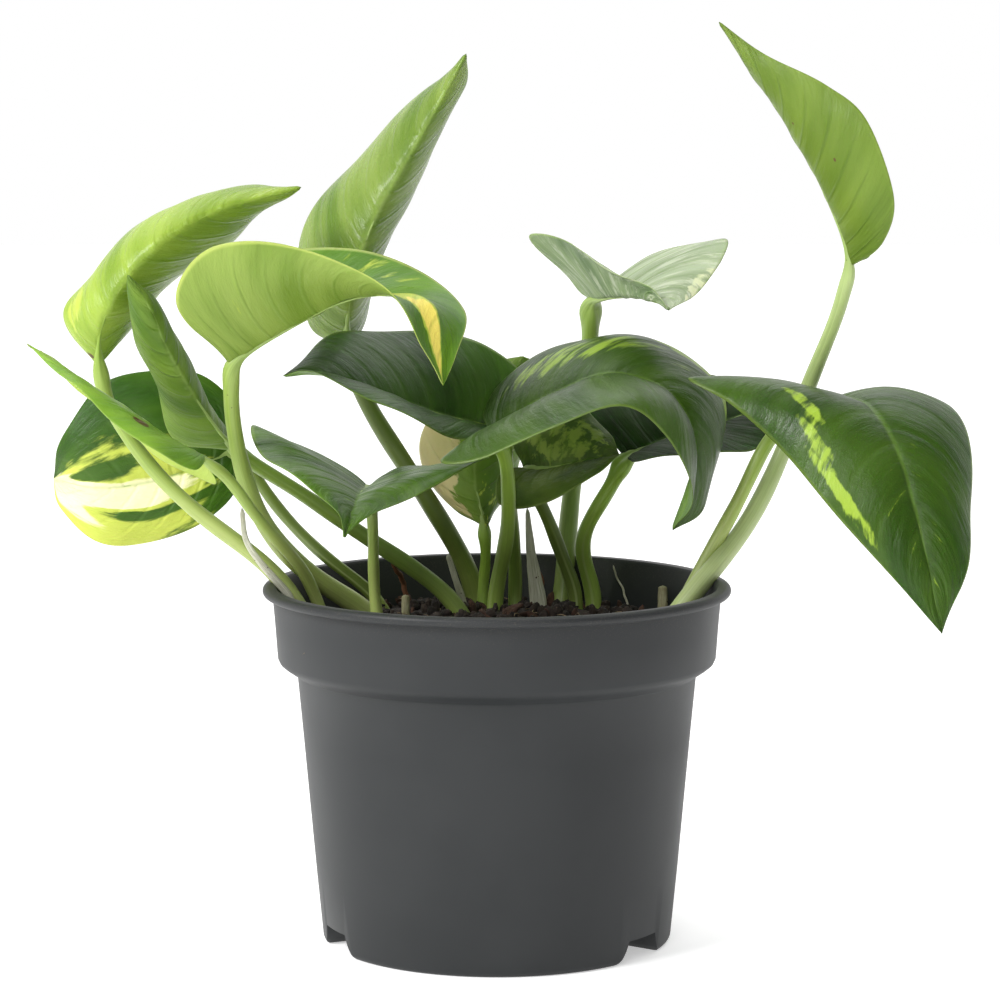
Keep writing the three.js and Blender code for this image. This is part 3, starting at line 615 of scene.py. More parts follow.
# %% Lines of the leaves
LEAVES = {
    "far_left": {
        "midrib": [(-69, 38, 123), (-80, 34, 118), (-93, 31, 114), (-106, 30, 113), (-118, 36, 115)],
        "left": [(-69, 36, 112), (-78, 33, 104), (-92, 31, 98), (-105, 29, 99), (-116, 30, 108)],
        "right": [(-69, 36, 133), (-78, 33, 143), (-92, 32, 144), (-105, 31, 140), (-114, 31, 128)],
        "bulge": 2,
        "stem": [(-68, 38, 123), (-63, 38, 113), (-56, 36, 104), (-44, 31, 93), (-30, 35, 82)],
        "stem_radii": (1.5, 1.7), "slots": ("leaf_variegated", "stalk_dark"),
    },
    "upper_left": {
        "midrib": [(-102, 4, 148), (-100, -2, 160), (-88, -4, 177), (-72, 2, 187), (-50, 8, 193)],
        "left": [(-97, 8, 153), (-91, 14, 162), (-79, 18, 172), (-64, 16, 183)],
        "right": [(-111, 6, 161), (-103, 12, 172), (-87, 16, 186), (-67, 16, 192)],
        "bulge": -3,
        "stem": [
            (-102, 4, 147), (-101, 3, 140), (-96, 2, 132), (-85, 1, 117), (-69, 1, 104),
            (-58, 2, 97), (-52, 3, 90), (-49, 3, 82),
        ],
        "stem_radii": (1.7, 2.3), "slots": ("leaf_young", "stalk_green"),
    },
    "front_left": {
        "midrib": [(-67, -14, 150), (-48, -15, 160), (-33, -20, 167), (-16, -28, 166), (-13, -36, 146)],
        "left": [
            (-72, 4, 164), (-58, 10, 176), (-39, 8, 177), (-18, -4, 172), (-8, -18, 163),
            (-10, -30, 153),
        ],
        "right": [(-79, -24, 166), (-70, -32, 179), (-48, -36, 180), (-27, -37, 169), (-17, -38, 155)],
        "bulge": -2.5,
        "stem": [
            (-67, -14, 150), (-67, -8, 135), (-65, 0, 120), (-61, 6, 106), (-51, 12, 94),
            (-40, 21, 85), (-30, 27, 80),
        ],
        "stem_radii": (1.9, 2.9), "slots": ("leaf_young", "stalk_green"),
    },
    "folded_left": {
        "midrib": [(-68, 6, 126), (-76, -3, 139), (-83, -11, 153), (-87, -15, 164), (-92, -17, 172)],
        "left": [(-71, 13, 131), (-78, 11, 140), (-83, 2, 156), (-87, -10, 166)],
        "right": [(-81, 8, 127), (-86, 5, 137), (-89, -3, 150), (-92, -13, 161)],
        "bulge": -2,
        "stem": [
            (-68, 6, 126), (-62, 10, 121), (-51, 14, 114), (-38, 18, 104), (-22, 23, 93),
            (-7, 27, 80),
        ],
        "stem_radii": (1.7, 2.4), "slots": ("leaf_young", "stalk_green"),
    },
    "narrow_left": {
        "midrib": [(-73, -12, 126), (-87, -17, 135), (-98, -19, 142), (-108, -19, 149), (-117, -18, 155)],
        "left": [(-75, -22, 124), (-86, -29, 130), (-99, -29, 141), (-109, -23, 148)],
        "right": [(-72, -6, 118), (-84, -3, 124), (-96, -5, 134), (-106, -12, 144)],
        "bulge": 2,
        "stem": [
            (-72, -12, 125), (-67, -12, 120), (-63, -9, 113), (-57, -3, 104), (-50, 5, 96),
            (-46, 12, 83),
        ],
        "stem_radii": (1.4, 1.7), "slots": ("leaf_young", "stalk_green"),
    },
    "low_front": {
        "midrib": [(-33, 8, 116), (-34, -8, 117), (-35, -26, 116), (-37, -46, 110)],
        "left": [
            (-25, 14, 120), (-13, 10, 122), (-2, 2, 124), (-12, -12, 121), (-24, -28, 116),
            (-33, -39, 113),
        ],
        "right": [
            (-43, 12, 123), (-56, 10, 128), (-63, 6, 132), (-59, -9, 126), (-47, -26, 120),
            (-39, -38, 116),
        ],
        "bulge": 1.5,
        "stem": [(-33, 8, 115), (-32, 8, 107), (-32, 10, 94), (-31, 12, 79)],
        "stem_radii": (1.3, 1.7), "slots": ("leaf_mature", "stalk_green"),
    },
    "centre_left": {
        "midrib": [(2, 26, 129), (-15, 14, 134), (-31, 5, 141), (-44, -1, 146), (-54, -6, 146)],
        "left": [(-2, 13, 128), (-14, -5, 131), (-28, -12, 139), (-41, -12, 145), (-49, -8, 147)],
        "right": [(8, 30, 142), (-4, 33, 151), (-25, 30, 155), (-41, 18, 155), (-49, 4, 150)],
        "bulge": 2,
        "stem": [(2, 27, 128), (3, 31, 118), (4, 38, 104), (5, 44, 92), (5, 48, 82)],
        "stem_radii": (1.6, 2), "slots": ("leaf_mature", "stalk_dark"),
    },
    "centre_arching": {
        "midrib": [(-2, 4, 131), (13, 2, 140), (29, 2, 146), (44, 2, 141), (51, 2, 126), (45, -2, 106)],
        "left": [
            (-4, 16, 135), (3, 24, 143), (20, 28, 152), (40, 28, 154), (57, 26, 141),
            (59, 20, 127), (54, 8, 111),
        ],
        "right": [
            (-14, -14, 125), (-4, -22, 127), (16, -25, 135), (32, -24, 140), (43, -20, 132),
            (49, -12, 115),
        ],
        "bulge": 2.5,
        "stem": [(-2, 4, 130), (2, 6, 126), (3, 11, 114), (3, 17, 103), (1, 24, 93), (-1, 32, 81)],
        "stem_radii": (1.8, 2.2), "slots": ("leaf_mature", "stalk_green"),
    },
    "tall_centre": {
        "midrib": [(-40, 36, 151), (-38, 24, 166), (-32, 22, 184), (-22, 24, 202), (-8, 30, 227)],
        "left": [(-36, 42, 155), (-32, 44, 174), (-24, 44, 190), (-16, 42, 205), (-9, 36, 219)],
        "right": [(-50, 40, 156), (-53, 42, 174), (-44, 44, 192), (-28, 42, 209), (-14, 36, 221)],
        "bulge": -3,
        "stem": [
            (-40, 36, 150), (-35, 37, 135), (-26, 38, 121), (-15, 41, 103), (-8, 45, 91),
            (-5, 50, 81),
        ],
        "stem_radii": (2.2, 2.8), "slots": ("leaf_young", "stalk_dark"),
    },
    "cream_centre": {
        "midrib": [(-3, 36, 102), (-6, 36, 115), (-4, 40, 128), (1, 44, 138), (7, 44, 147)],
        "left": [(0, 42, 106), (4, 46, 113), (9, 50, 124), (13, 50, 135), (12, 47, 144)],
        "right": [(-11, 40, 107), (-19, 43, 114), (-20, 47, 124), (-13, 50, 136), (1, 47, 145)],
        "bulge": -2,
        "stem": [(-3, 36, 101), (-3, 38, 93), (-4, 41, 81)],
        "stem_radii": (1.3, 1.6), "slots": ("leaf_variegated", "stalk_green"),
    },
    "under_centre": {
        "midrib": [(7, 28, 118), (14, 27, 119), (23, 25, 121), (32, 22, 123)],
        "left": [(5, 34, 126), (11, 36, 132), (20, 35, 135), (28, 31, 130)],
        "right": [(1, 23, 118), (0, 19, 111), (6, 17, 109), (15, 16, 112), (26, 18, 118)],
        "bulge": 2,
        "stem": [(7, 28, 118), (10, 30, 112), (14, 32, 104), (18, 36, 92), (22, 38, 82)],
        "stem_radii": (1.6, 2), "slots": ("leaf_mature", "stalk_dark"),
    },
    "top_silver": {
        "midrib": [(25, 44, 162), (30, 32, 163), (37, 18, 164), (44, 4, 162)],
        "left": [(32, 54, 167), (44, 54, 174), (60, 44, 179), (59, 30, 173), (50, 12, 165)],
        "right": [(20, 46, 166), (9, 40, 180), (22, 26, 176), (33, 16, 170), (41, 8, 165)],
        "bulge": 1.5,
        "stem": [(25, 44, 161), (25, 48, 152), (24, 54, 134), (20, 52, 110), (19, 50, 95), (18, 49, 82)],
        # the silver of this leaf is painted reflection in its colours, not a colour of the leaf itself
        "stem_radii": (2.2, 2.6), "slots": ("leaf_silver", "stalk_dark"),
    },
    "dark_behind": {
        "midrib": [(34, 30, 121), (45, 34, 126), (57, 38, 129), (69, 42, 133), (75, 46, 138)],
        "left": [(24, 44, 134), (35, 54, 139), (52, 56, 141), (68, 52, 138)],
        "right": [(37, 20, 121), (45, 16, 123), (57, 20, 124), (67, 28, 123), (75, 38, 129)],
        "bulge": 2,
        "stem": [(34, 30, 121), (31, 31, 115), (27, 32, 108), (23, 34, 102), (22, 38, 95), (27, 43, 81)],
        "stem_radii": (1.9, 2.2), "slots": ("leaf_mature", "stalk_green"),
    },
    "right_large": {
        "midrib": [(82, 22, 135), (89, 8, 139), (97, -8, 136), (104, -18, 117), (111, -26, 83)],
        "left": [(96, 26, 138), (112, 14, 139), (119, 4, 132), (121, -8, 117), (118, -18, 101)],
        "right": [
            (64, 18, 142), (49, 4, 144), (60, -4, 138), (73, -12, 126), (87, -20, 110),
            (102, -24, 93),
        ],
        "bulge": 3,
        "stem": [(82, 21, 134), (77, 21, 133), (70, 19, 127), (64, 16, 113), (56, 12, 100), (48, 12, 84)],
        "stem_radii": (1.8, 2), "slots": ("leaf_mature", "stalk_green"),
    },
    "right_tall": {
        "midrib": [(91, 10, 173), (87, 8, 184), (80, 8, 198), (72, 10, 212), (57, 16, 235)],
        "left": [(98, 2, 179), (100, -4, 191), (93, -4, 210), (83, 0, 219), (69, 8, 226)],
        "right": [(98, 24, 176), (101, 34, 189), (94, 36, 207), (82, 30, 217), (67, 22, 227)],
        "bulge": -3,
        "stem": [
            (91, 10, 173), (88, 17, 158), (84, 24, 148), (81, 29, 138), (76, 31, 123),
            (69, 24, 109), (63, 14, 100.7), (57.2, 7.4, 96.5), (50.5, 3.8, 89.7), (42, 2, 80),
        ],
        "stem_radii": (1.7, 2.8), "slots": ("leaf_young", "stalk_green"),
    },
}
print(len(LEAVES), "leaves")


# %% Smooth lines
FINE_STEPS = 60


def unit(vectors):
    """The same directions with length 1."""
    return vectors / np.maximum(np.linalg.norm(vectors, axis=-1, keepdims=True), 1e-12)


def line_through(points, shares):
    """Places on the smooth line through the points, at these shares of its length."""
    points = np.array(points, float)
    knots = np.vstack([2 * points[0] - points[1], points, 2 * points[-1] - points[-2]])
    t = np.linspace(0, 1, FINE_STEPS, endpoint=False)[:, None]
    stretches = []
    for a, b, c, d in zip(knots, knots[1:], knots[2:], knots[3:]):
        bend = 2 * a - 5 * b + 4 * c - d
        twist = 3 * b - a - 3 * c + d
        stretches.append(b + 0.5 * ((c - a) * t + bend * t ** 2 + twist * t ** 3))
    fine = np.vstack([*stretches, points[-1]])
    steps = np.linalg.norm(np.diff(fine, axis=0), axis=1)
    length = np.concatenate([[0], np.cumsum(steps)])
    reach = np.array(shares) * length[-1]
    return np.stack([np.interp(reach, length, fine[:, k]) for k in range(3)], axis=-1)


def sheet_from(name, places):
    """A grid whose points are moved to these places, an array of rows, columns and 3 numbers in mm."""
    rows, columns = places.shape[0] - 1, places.shape[1] - 1
    bpy.ops.object.select_all(action="DESELECT")
    bpy.ops.mesh.primitive_grid_add(x_subdivisions=rows, y_subdivisions=columns, size=1)
    sheet = bpy.context.object
    sheet.name = name
    for vertex in sheet.data.vertices:
        row = round((vertex.co.x + 0.5) * rows)
        column = round((vertex.co.y + 0.5) * columns)
        vertex.co = Vector(places[row, column]) * MM
    return sheet


print("the first leaf's midrib is smoothed through", len(LEAVES["far_left"]["midrib"]), "points")

# %% Shape of a blade
BLADE_ROWS = 104
BLADE_COLUMNS = 60
MIDRIB_LEAD = 1.3
FOLD_ROUNDING = 0.05
GROOVE_DEPTH = 0.25
GROOVE_WIDTH = 0.04
PUCKER = 0.10
PUCKER_PAIRS = 9
RIPPLES = 2.6
SWELL = 0.55
SWELL_SIZE = 15


def blade_sides(leaf, along):
    """The midrib and both margins at these shares of the leaf's length."""
    midrib = line_through(leaf["midrib"], along ** MIDRIB_LEAD)
    first, last = leaf["midrib"][0], leaf["midrib"][-1]
    left = line_through([first, *leaf["left"], last], along)
    right = line_through([first, *leaf["right"], last], along)
    return midrib, left, right


def surface_normals(places):
    """Which way the upper face looks at each place of a blade."""
    normals = unit(np.cross(np.gradient(places, axis=0), np.gradient(places, axis=1)))
    normals[:2] = normals[2]
    normals[-2:] = normals[-3]
    return normals


def blade_places(leaf, wave, seed):
    """The blade's upper face: rows from the stalk to the tip, columns from the right margin to the left."""
    along = np.linspace(0, 1, BLADE_ROWS + 1)
    side = np.linspace(-1, 1, BLADE_COLUMNS + 1)
    midrib, left, right = blade_sides(leaf, along)
    tangent = unit(np.gradient(midrib, axis=0))
    to_left = (side + np.sqrt(side ** 2 + FOLD_ROUNDING ** 2)) / 2
    to_right = to_left[::-1]
    up_left = unit(np.cross(midrib - left, tangent))
    up_right = unit(np.cross(right - midrib, tangent))
    share = (to_left / (to_left + to_right))[None, :, None]
    upward = unit(up_left[:, None] * share + up_right[:, None] * (1 - share))
    across = np.abs(side)
    bow = leaf["bulge"] * np.outer(np.sin(math.pi * along), 4 * across * (1 - across))
    places = midrib[:, None] + to_left[None, :, None] * (left - midrib)[:, None]
    places = places + to_right[None, :, None] * (right - midrib)[:, None] + upward * bow[..., None]
    normals = surface_normals(places)
    ends = np.clip(np.minimum(along, 1 - along) * 9, 0, 1)[:, None]
    groove = -GROOVE_DEPTH * np.outer((1 - along) ** 0.6, np.exp(-(across / GROOVE_WIDTH) ** 2))
    vein = along[:, None] - VEIN_SWEEP * across[None, :] ** VEIN_BEND
    vein_turns = vein * PUCKER_PAIRS + VEIN_STAGGER * np.sign(side) + 0.5
    pucker = PUCKER * np.cos(2 * math.pi * vein_turns) * (1 - across) ** 0.5
    ripple = np.sin(2 * math.pi * (along[:, None] * RIPPLES + seed * 0.37 + 0.3 * np.sign(side)[None, :]))
    ripple = ripple * wave * across[None, :] ** 3
    lift = groove + pucker + ripple
    start = Vector((seed, seed, seed))
    for i in range(BLADE_ROWS + 1):
        for j in range(BLADE_COLUMNS + 1):
            lift[i, j] += SWELL * noise.noise(Vector(places[i, j]) / SWELL_SIZE + start)
    return places + normals * (lift * ends)[..., None]


def make_blade(name, leaf, look):
    """One leaf blade, with its upper face in slot one and its lower face in slot two."""
    places = blade_places(leaf, look["wave"], look["seed"])
    blade = sheet_from("blade_" + name, places)
    weld(blade, recalculate=False)
    tissue = blade.vertex_groups.new(name="tissue")
    layer = blade.data.uv_layers[0].data
    for loop in blade.data.loops:
        across = abs(layer[loop.index].uv.y * 2 - 1)
        tissue.add([loop.vertex_index], 0.35 + 0.65 * (1 - across) ** 0.5, "REPLACE")
    blade.data.materials.append(leaf_material(name + "_upper", look, "upper"))
    blade.data.materials.append(leaf_material(name + "_under", look, "under"))
    pick(blade)
    body = blade.modifiers.new("body", "SOLIDIFY")
    body.thickness = look["thickness"] * MM
    body.offset = -1
    body.vertex_group = "tissue"
    body.material_offset = 1
    bpy.ops.object.modifier_apply(modifier="body")
    bpy.ops.object.shade_smooth()
    settle(blade, leaf["slots"][0], "leaf_" + name)
    return blade, places


blades = {}
for leaf_name, leaf in LEAVES.items():
    blades[leaf_name] = make_blade(leaf_name, leaf, LOOKS[leaf_name])
print("faces in all blades:", sum(len(blade.data.polygons) for blade, places in blades.values()))

# %% [markdown]
# ## Stalks
# A leaf stalk is fleshy and round, with a channel along its upper side. Low down the channel's rims
# grow into two thin wings that once wrapped the next young leaf. At the top the stalk runs on under the
# blade as its midrib, ever thinner, so a stalk is one piece from the soil to the middle of the leaf.
# It is made as a leaf is: a grid whose rows become rings round a line, and whose seam is then welded.

# %% Rods with a shaped section
def carried_normals(centres, start, index):
    """A sideways direction at every place of a line, carried both ways from one place without twist."""
    tangents = unit(np.gradient(centres, axis=0))
    normals = np.zeros_like(centres)
    normals[index] = unit(start - tangents[index] * np.dot(start, tangents[index]))
    for i in range(index + 1, len(centres)):
        normals[i] = unit(normals[i - 1] - tangents[i] * np.dot(normals[i - 1], tangents[i]))
    for i in range(index - 1, -1, -1):
        normals[i] = unit(normals[i + 1] - tangents[i] * np.dot(normals[i + 1], tangents[i]))
    return tangents, normals


def spokes_round(normals, tangents, sides):
    """The directions from a line to the sides of a rod: an array of rings, sides and 3 numbers."""
    angles = np.linspace(0, 2 * math.pi, sides)[None, :, None]
    return normals[:, None] * np.cos(angles) + np.cross(tangents, normals)[:, None] * np.sin(angles)


def rod_along(name, centres, normals, tangents, radii):
    """A closed rod round a line. The radii are an array of rings and sides, in mm."""
    rings, sides = radii.shape
    spokes = spokes_round(normals, tangents, sides)
    ends = np.ones(rings)
    ends[[0, -1]] = 0
    ends[[1, -2]] = 0.7
    places = centres[:, None] + spokes * (radii * ends[:, None])[..., None]
    rod = sheet_from(name, places)
    weld(rod)
    pick(rod)
    bpy.ops.object.shade_smooth()
    return rod


# %% Group: fibres of a stalk
def build_stalk_fibres():
    """Lengthwise fibres, slow blotches and small brown flecks on a stalk."""
    inputs = [("UV", "Vector", (0, 0, 0)), ("Flecks", "Float", 0.5)]
    outputs = [("Fibres", "Float"), ("Blotches", "Float"), ("Flecks", "Float")]
    group, given, result = new_group("stalk_fibres", inputs, outputs)
    place = wire(group, "ShaderNodeMapping", {0: given["UV"], "Scale": (3, 22, 1)}).outputs[0]
    solid = coordinates(group, "Object")
    specks = clouded(group, solid, 900.0, 1.0)
    group.links.new(clouded(group, place, 1.6, 4.0), result["Fibres"])
    group.links.new(clouded(group, solid, 130.0, 3.0), result["Blotches"])
    limit = maths(group, "SUBTRACT", 0.86, maths(group, "MULTIPLY", given["Flecks"], 0.15))
    group.links.new(rise(group, specks, limit, maths(group, "ADD", limit, 0.03)), result["Flecks"])
    return group


STALK_FIBRES = build_stalk_fibres()
print("stalk fibres ready")


# %% Stalk materials
KNEE_SHARE = 0.63
RIM_PLACE = 0.11
WING_COLOUR = rgb(0.42, 0.50, 0.22)
FIBRE_COLOUR = rgb(0.02, 0.05, 0.01)
FLECK_COLOUR = rgb(0.09, 0.06, 0.02)


def stalk_material(name, foot, middle, top, rib):
    """A stalk's finish: three colours from the soil to the leaf, the midrib's own, and brown flecks."""
    material, tree, shader = new_material(name)
    uv = coordinates(tree, "UV")
    grain = place_group(tree, STALK_FIBRES, {"UV": uv, "Flecks": 0.5})
    parts = wire(tree, "ShaderNodeSeparateXYZ", {0: uv}).outputs
    height = maths(tree, "MULTIPLY_ADD", grain["Blotches"], 0.16, parts[0])
    colour = mixed(tree, rise(tree, height, 0.10, 0.38), foot, middle)
    colour = mixed(tree, rise(tree, height, 0.40, 0.62), colour, top)
    colour = mixed(tree, rise(tree, parts[0], KNEE_SHARE, KNEE_SHARE + 0.06), colour, rib)
    darker = mixed(tree, 0.22, colour, FIBRE_COLOUR)
    colour = mixed(tree, rise(tree, grain["Fibres"], 0.35, 0.75), colour, darker)
    from_channel = maths(tree, "PINGPONG", parts[1], 0.5)
    from_rim = maths(tree, "ABSOLUTE", maths(tree, "SUBTRACT", from_channel, RIM_PLACE))
    rims = maths(tree, "MULTIPLY", fall(tree, from_rim, 0.01, 0.04), fall(tree, parts[0], 0.3, 0.55))
    colour = mixed(tree, maths(tree, "MULTIPLY", rims, 0.35), colour, WING_COLOUR)
    colour = mixed(tree, maths(tree, "MULTIPLY", grain["Flecks"], 0.8), colour, FLECK_COLOUR)
    tree.links.new(colour, shader.inputs["Base Color"])
    add_bump(tree, shader, grain["Fibres"], 0.2, 0.2 * MM)
    shader.inputs["Roughness"].default_value = 0.42
    make_fleshy(shader, 0.15)
    return material


GREEN_STALK = (rgb(0.36, 0.45, 0.12), rgb(0.27, 0.40, 0.07), rgb(0.27, 0.42, 0.05))
PALE_STALK = (rgb(0.46, 0.52, 0.20), rgb(0.38, 0.46, 0.13), rgb(0.30, 0.41, 0.08))
WHITE_STALK = (rgb(0.36, 0.43, 0.16), rgb(0.46, 0.54, 0.26), rgb(0.42, 0.53, 0.20))
OLIVE_STALK = (rgb(0.22, 0.28, 0.07), rgb(0.18, 0.27, 0.05), rgb(0.22, 0.33, 0.05))
DARK_STALK = (rgb(0.27, 0.33, 0.08), rgb(0.12, 0.17, 0.03), rgb(0.14, 0.20, 0.03))
STALK_COLOURS = {
    "far_left": DARK_STALK, "upper_left": PALE_STALK, "front_left": PALE_STALK, "folded_left": OLIVE_STALK,
    "narrow_left": PALE_STALK, "low_front": PALE_STALK, "centre_left": OLIVE_STALK,
    "centre_arching": GREEN_STALK, "tall_centre": DARK_STALK, "cream_centre": GREEN_STALK,
    "under_centre": DARK_STALK, "top_silver": OLIVE_STALK, "dark_behind": GREEN_STALK,
    "right_large": PALE_STALK, "right_tall": WHITE_STALK,
}

# %% Shape of a stalk
BURIED_LEVEL = 66
BURIED_PULL = 0.84
STALK_RINGS = 80
RIB_RINGS = 44
STALK_SIDES = 33
RIB_SHARE = 0.8
RIB_TIP_RADIUS = 0.18
RELAX_PASSES = 120
RIB_BASE = 0.38
WEB_ROW = 5
FLARE = 1.1
FLARE_LENGTH = 4.5
CHANNEL_DEPTH = 0.06
WING_HEIGHT = 0.06
LUMP_HEIGHT = 0.03
LUMP_COUNT = 40


def stalk_line(leaf, places):
    """The line of a stalk and of the midrib under its blade, and the direction of its channel."""
    stem = leaf["stem"]
    x, y = stem[-1][0] * BURIED_PULL, stem[-1][1] * BURIED_PULL
    lower = line_through([*stem, (x, y, BURIED_LEVEL)], np.linspace(1, 0, STALK_RINGS))
    middle = places.shape[1] // 2
    rib_row = np.linspace(2, RIB_SHARE * BLADE_ROWS, RIB_RINGS).astype(int)
    return lower, places[rib_row, middle], surface_normals(places)[rib_row, middle]


def relaxed(centres):
    """The line with its small bends taken out: much in the lower part, and a little near the blade."""
    share = np.linspace(0, 1, len(centres))
    calm = np.interp(share, [0, 0.05, 0.45, 0.62, 1], [0, 1, 1, 0.25, 0.25])[:, None]
    for _ in range(RELAX_PASSES):
        middle = (centres[:-2] + centres[2:]) / 2
        centres[1:-1] += (middle - centres[1:-1]) * 0.5 * calm[1:-1]
    return centres


def eased(values, passes):
    """The same list of numbers with its steps smoothed out."""
    for _ in range(passes):
        values[1:-1] = (values[:-2] + 2 * values[1:-1] + values[2:]) / 4
    return values


def grooved(radii, seed):
    """The radii all round a stalk, with the channel, its two wings low down, and slow lumps."""
    share = np.linspace(0, 1, len(radii))
    angles = np.linspace(0, 2 * math.pi, STALK_SIDES)
    from_channel = np.minimum(angles, 2 * math.pi - angles)
    low_down = np.clip(1 - (share - 0.25) / 0.25, 0, 1)[:, None]
    channel = CHANNEL_DEPTH * np.exp(-(from_channel / 0.45) ** 2)[None, :]
    wings = WING_HEIGHT * np.exp(-((from_channel - 0.75) / 0.3) ** 2)[None, :] * low_down
    lumps = LUMP_HEIGHT * np.sin(share * LUMP_COUNT + seed)[:, None]
    return radii[:, None] * (1 - channel + wings + lumps)


def flared(centres, spokes, places, top_radius):
    """How much a stalk widens where it meets its blade, towards both corners of the blade's foot."""
    reach = np.linalg.norm(centres - centres[STALK_RINGS - 2], axis=1)
    web = 0
    for corner in unit(places[WEB_ROW, [0, -1]] - places[0, places.shape[1] // 2]):
        web = web + np.clip(spokes @ corner, 0, 1) ** 2
    return FLARE * top_radius * np.exp(-(reach / FLARE_LENGTH) ** 2)[:, None] * web


def make_stalk(name, leaf, places, colours, seed):
    """One stalk, from its buried foot to the end of the midrib that it becomes."""
    lower, rib, rib_normals = stalk_line(leaf, places)
    top_radius, foot_radius = leaf["stem_radii"]
    rib_share = np.linspace(0, 1, RIB_RINGS)
    rib_radii = RIB_TIP_RADIUS + (top_radius * RIB_BASE - RIB_TIP_RADIUS) * (1 - rib_share) ** 1.8
    sink = np.minimum(1, np.linspace(0, 6, RIB_RINGS))[:, None]
    rib = rib - rib_normals * rib_radii[:, None] * 0.7 * sink
    centres = relaxed(np.vstack([lower[:-2], rib[1:]]))
    tangents, normals = carried_normals(centres, rib_normals[1], STALK_RINGS - 2)
    radii = np.concatenate([np.linspace(foot_radius, top_radius, STALK_RINGS)[:-2], rib_radii[1:]])
    spokes = spokes_round(normals, tangents, STALK_SIDES)
    section = grooved(eased(radii, 6), seed) + flared(centres, spokes, places, top_radius)
    section[:, -1] = section[:, 0]
    stalk = rod_along("petiole_" + name, centres, normals, tangents, section)
    stalk.data.materials.append(stalk_material("petiole_" + name, *colours, LOOKS[name]["under_rib"]))
    settle(stalk, leaf["slots"][1], "stalk_" + name)
    return stalk


stalks = {}
for number, (leaf_name, leaf) in enumerate(LEAVES.items()):
    blade, places = blades[leaf_name]
    stalks[leaf_name] = make_stalk(leaf_name, leaf, places, STALK_COLOURS[leaf_name], number)
print("stalks:", len(stalks))

# %% [markdown]
# ## Pot
# A nursery pot is moulded in one thin shell: a smooth tapering wall, a step, a wider band and a small
# rolled lip. Three raised channels under its floor are open at the side, so that water can run out.
# Its outline is a ring of points, spun once round the axis. The channels are solid blocks: one set,
# trimmed to end inside the thickness of the wall, is joined on as their roofs, and a smaller set is
# cut out.

# %% Sizes of the pot
POT_HEIGHT = 92
LIP_RADIUS = 60
LIP_HEIGHT = 2.5
LIP_OVERHANG = 2.5
BAND_BOTTOM_RADIUS = 56.2
BAND_BOTTOM = 73.5
STEP_BOTTOM = 69.5
BODY_TOP_RADIUS = 51.2
BODY_BOTTOM_RADIUS = 45
FOOT_ROUNDING = 1.6
WALL = 1.2
POT_SPIN_STEPS = 160
DRAIN_ANGLES = (84.6, 204.6, 324.6)
DRAIN_TOP_WIDTH = 12
DRAIN_BOTTOM_WIDTH = 24
DRAIN_HEIGHT = 5.8
DRAIN_INNER_RADIUS = 22
DRAIN_HOLE_RADIUS = 3.5
DRAIN_HOLE_DISTANCE = 33
FLANK_STEPS = 8
EDGE_ROUNDING = 0.25


def arc(centre, radius, start, end, steps):
    """Points of a round corner, as radius and height in mm. The angles are in degrees."""
    angles = [math.radians(start + (end - start) * k / steps) for k in range(steps + 1)]
    return [(centre[0] + radius * math.cos(a), centre[1] + radius * math.sin(a)) for a in angles]


def outer_outline():
    """The outside of the pot from the axis under its floor up to the top of its lip."""
    band_top = POT_HEIGHT - LIP_HEIGHT
    band_top_radius = LIP_RADIUS - LIP_OVERHANG
    roll = LIP_HEIGHT / 2
    return [
        (0, 0), (20, 0),
        *arc((BODY_BOTTOM_RADIUS - FOOT_ROUNDING, FOOT_ROUNDING), FOOT_ROUNDING, -90, 0, 6),
        (46.6, 18), (48.2, 36), (49.8, 54),
        (BODY_TOP_RADIUS, STEP_BOTTOM - 0.4),
        (BODY_TOP_RADIUS + 0.3, STEP_BOTTOM),
        (BODY_TOP_RADIUS + 1.4, STEP_BOTTOM + 0.7),
        (BAND_BOTTOM_RADIUS - 1.5, BAND_BOTTOM - 1.9),
        (BAND_BOTTOM_RADIUS - 0.5, BAND_BOTTOM - 1.1),
        (BAND_BOTTOM_RADIUS, BAND_BOTTOM),
        (BAND_BOTTOM_RADIUS + 0.6, 82),
        (band_top_radius - 0.1, band_top - 0.4),
        (band_top_radius + 0.3, band_top),
        *arc((LIP_RADIUS - roll, band_top + roll), roll, -70, 90, 8),
    ]


def inner_outline():
    """The inside of the pot from the lip down to the axis on its floor."""
    band_top_radius = LIP_RADIUS - LIP_OVERHANG
    return [
        (band_top_radius - WALL + 0.5, POT_HEIGHT - 0.1),
        (band_top_radius - WALL, POT_HEIGHT - 0.8),
        (BAND_BOTTOM_RADIUS - WALL, BAND_BOTTOM + 0.5),
        (BODY_TOP_RADIUS - WALL, STEP_BOTTOM + 1),
        (BODY_BOTTOM_RADIUS - WALL, FOOT_ROUNDING + 1),
        (BODY_BOTTOM_RADIUS - WALL - 1, WALL),
        (0, WALL),
    ]


def spun(name, outline):
    """A closed shape: an outline that starts and ends on the axis, spun round it."""
    bpy.ops.object.select_all(action="DESELECT")
    bpy.ops.mesh.primitive_circle_add(vertices=len(outline), radius=1)
    shape = bpy.context.object
    shape.name = name
    for vertex, (radius, height) in zip(shape.data.vertices, outline):
        vertex.co = Vector((radius, 0, height)) * MM
    edit_all(shape)
    bpy.ops.mesh.spin(steps=POT_SPIN_STEPS, angle=2 * math.pi, center=(0, 0, 0), axis=(0, 0, 1))
    bpy.ops.object.mode_set(mode="OBJECT")
    weld(shape)
    drop_axis_edge(shape)
    return shape


def drop_axis_edge(shape):
    """Remove the bare edge that the closing side of an outline leaves on the axis."""
    edit_all(shape)
    bpy.ops.mesh.delete_loose(use_verts=True, use_edges=True, use_faces=False)
    bpy.ops.object.mode_set(mode="OBJECT")


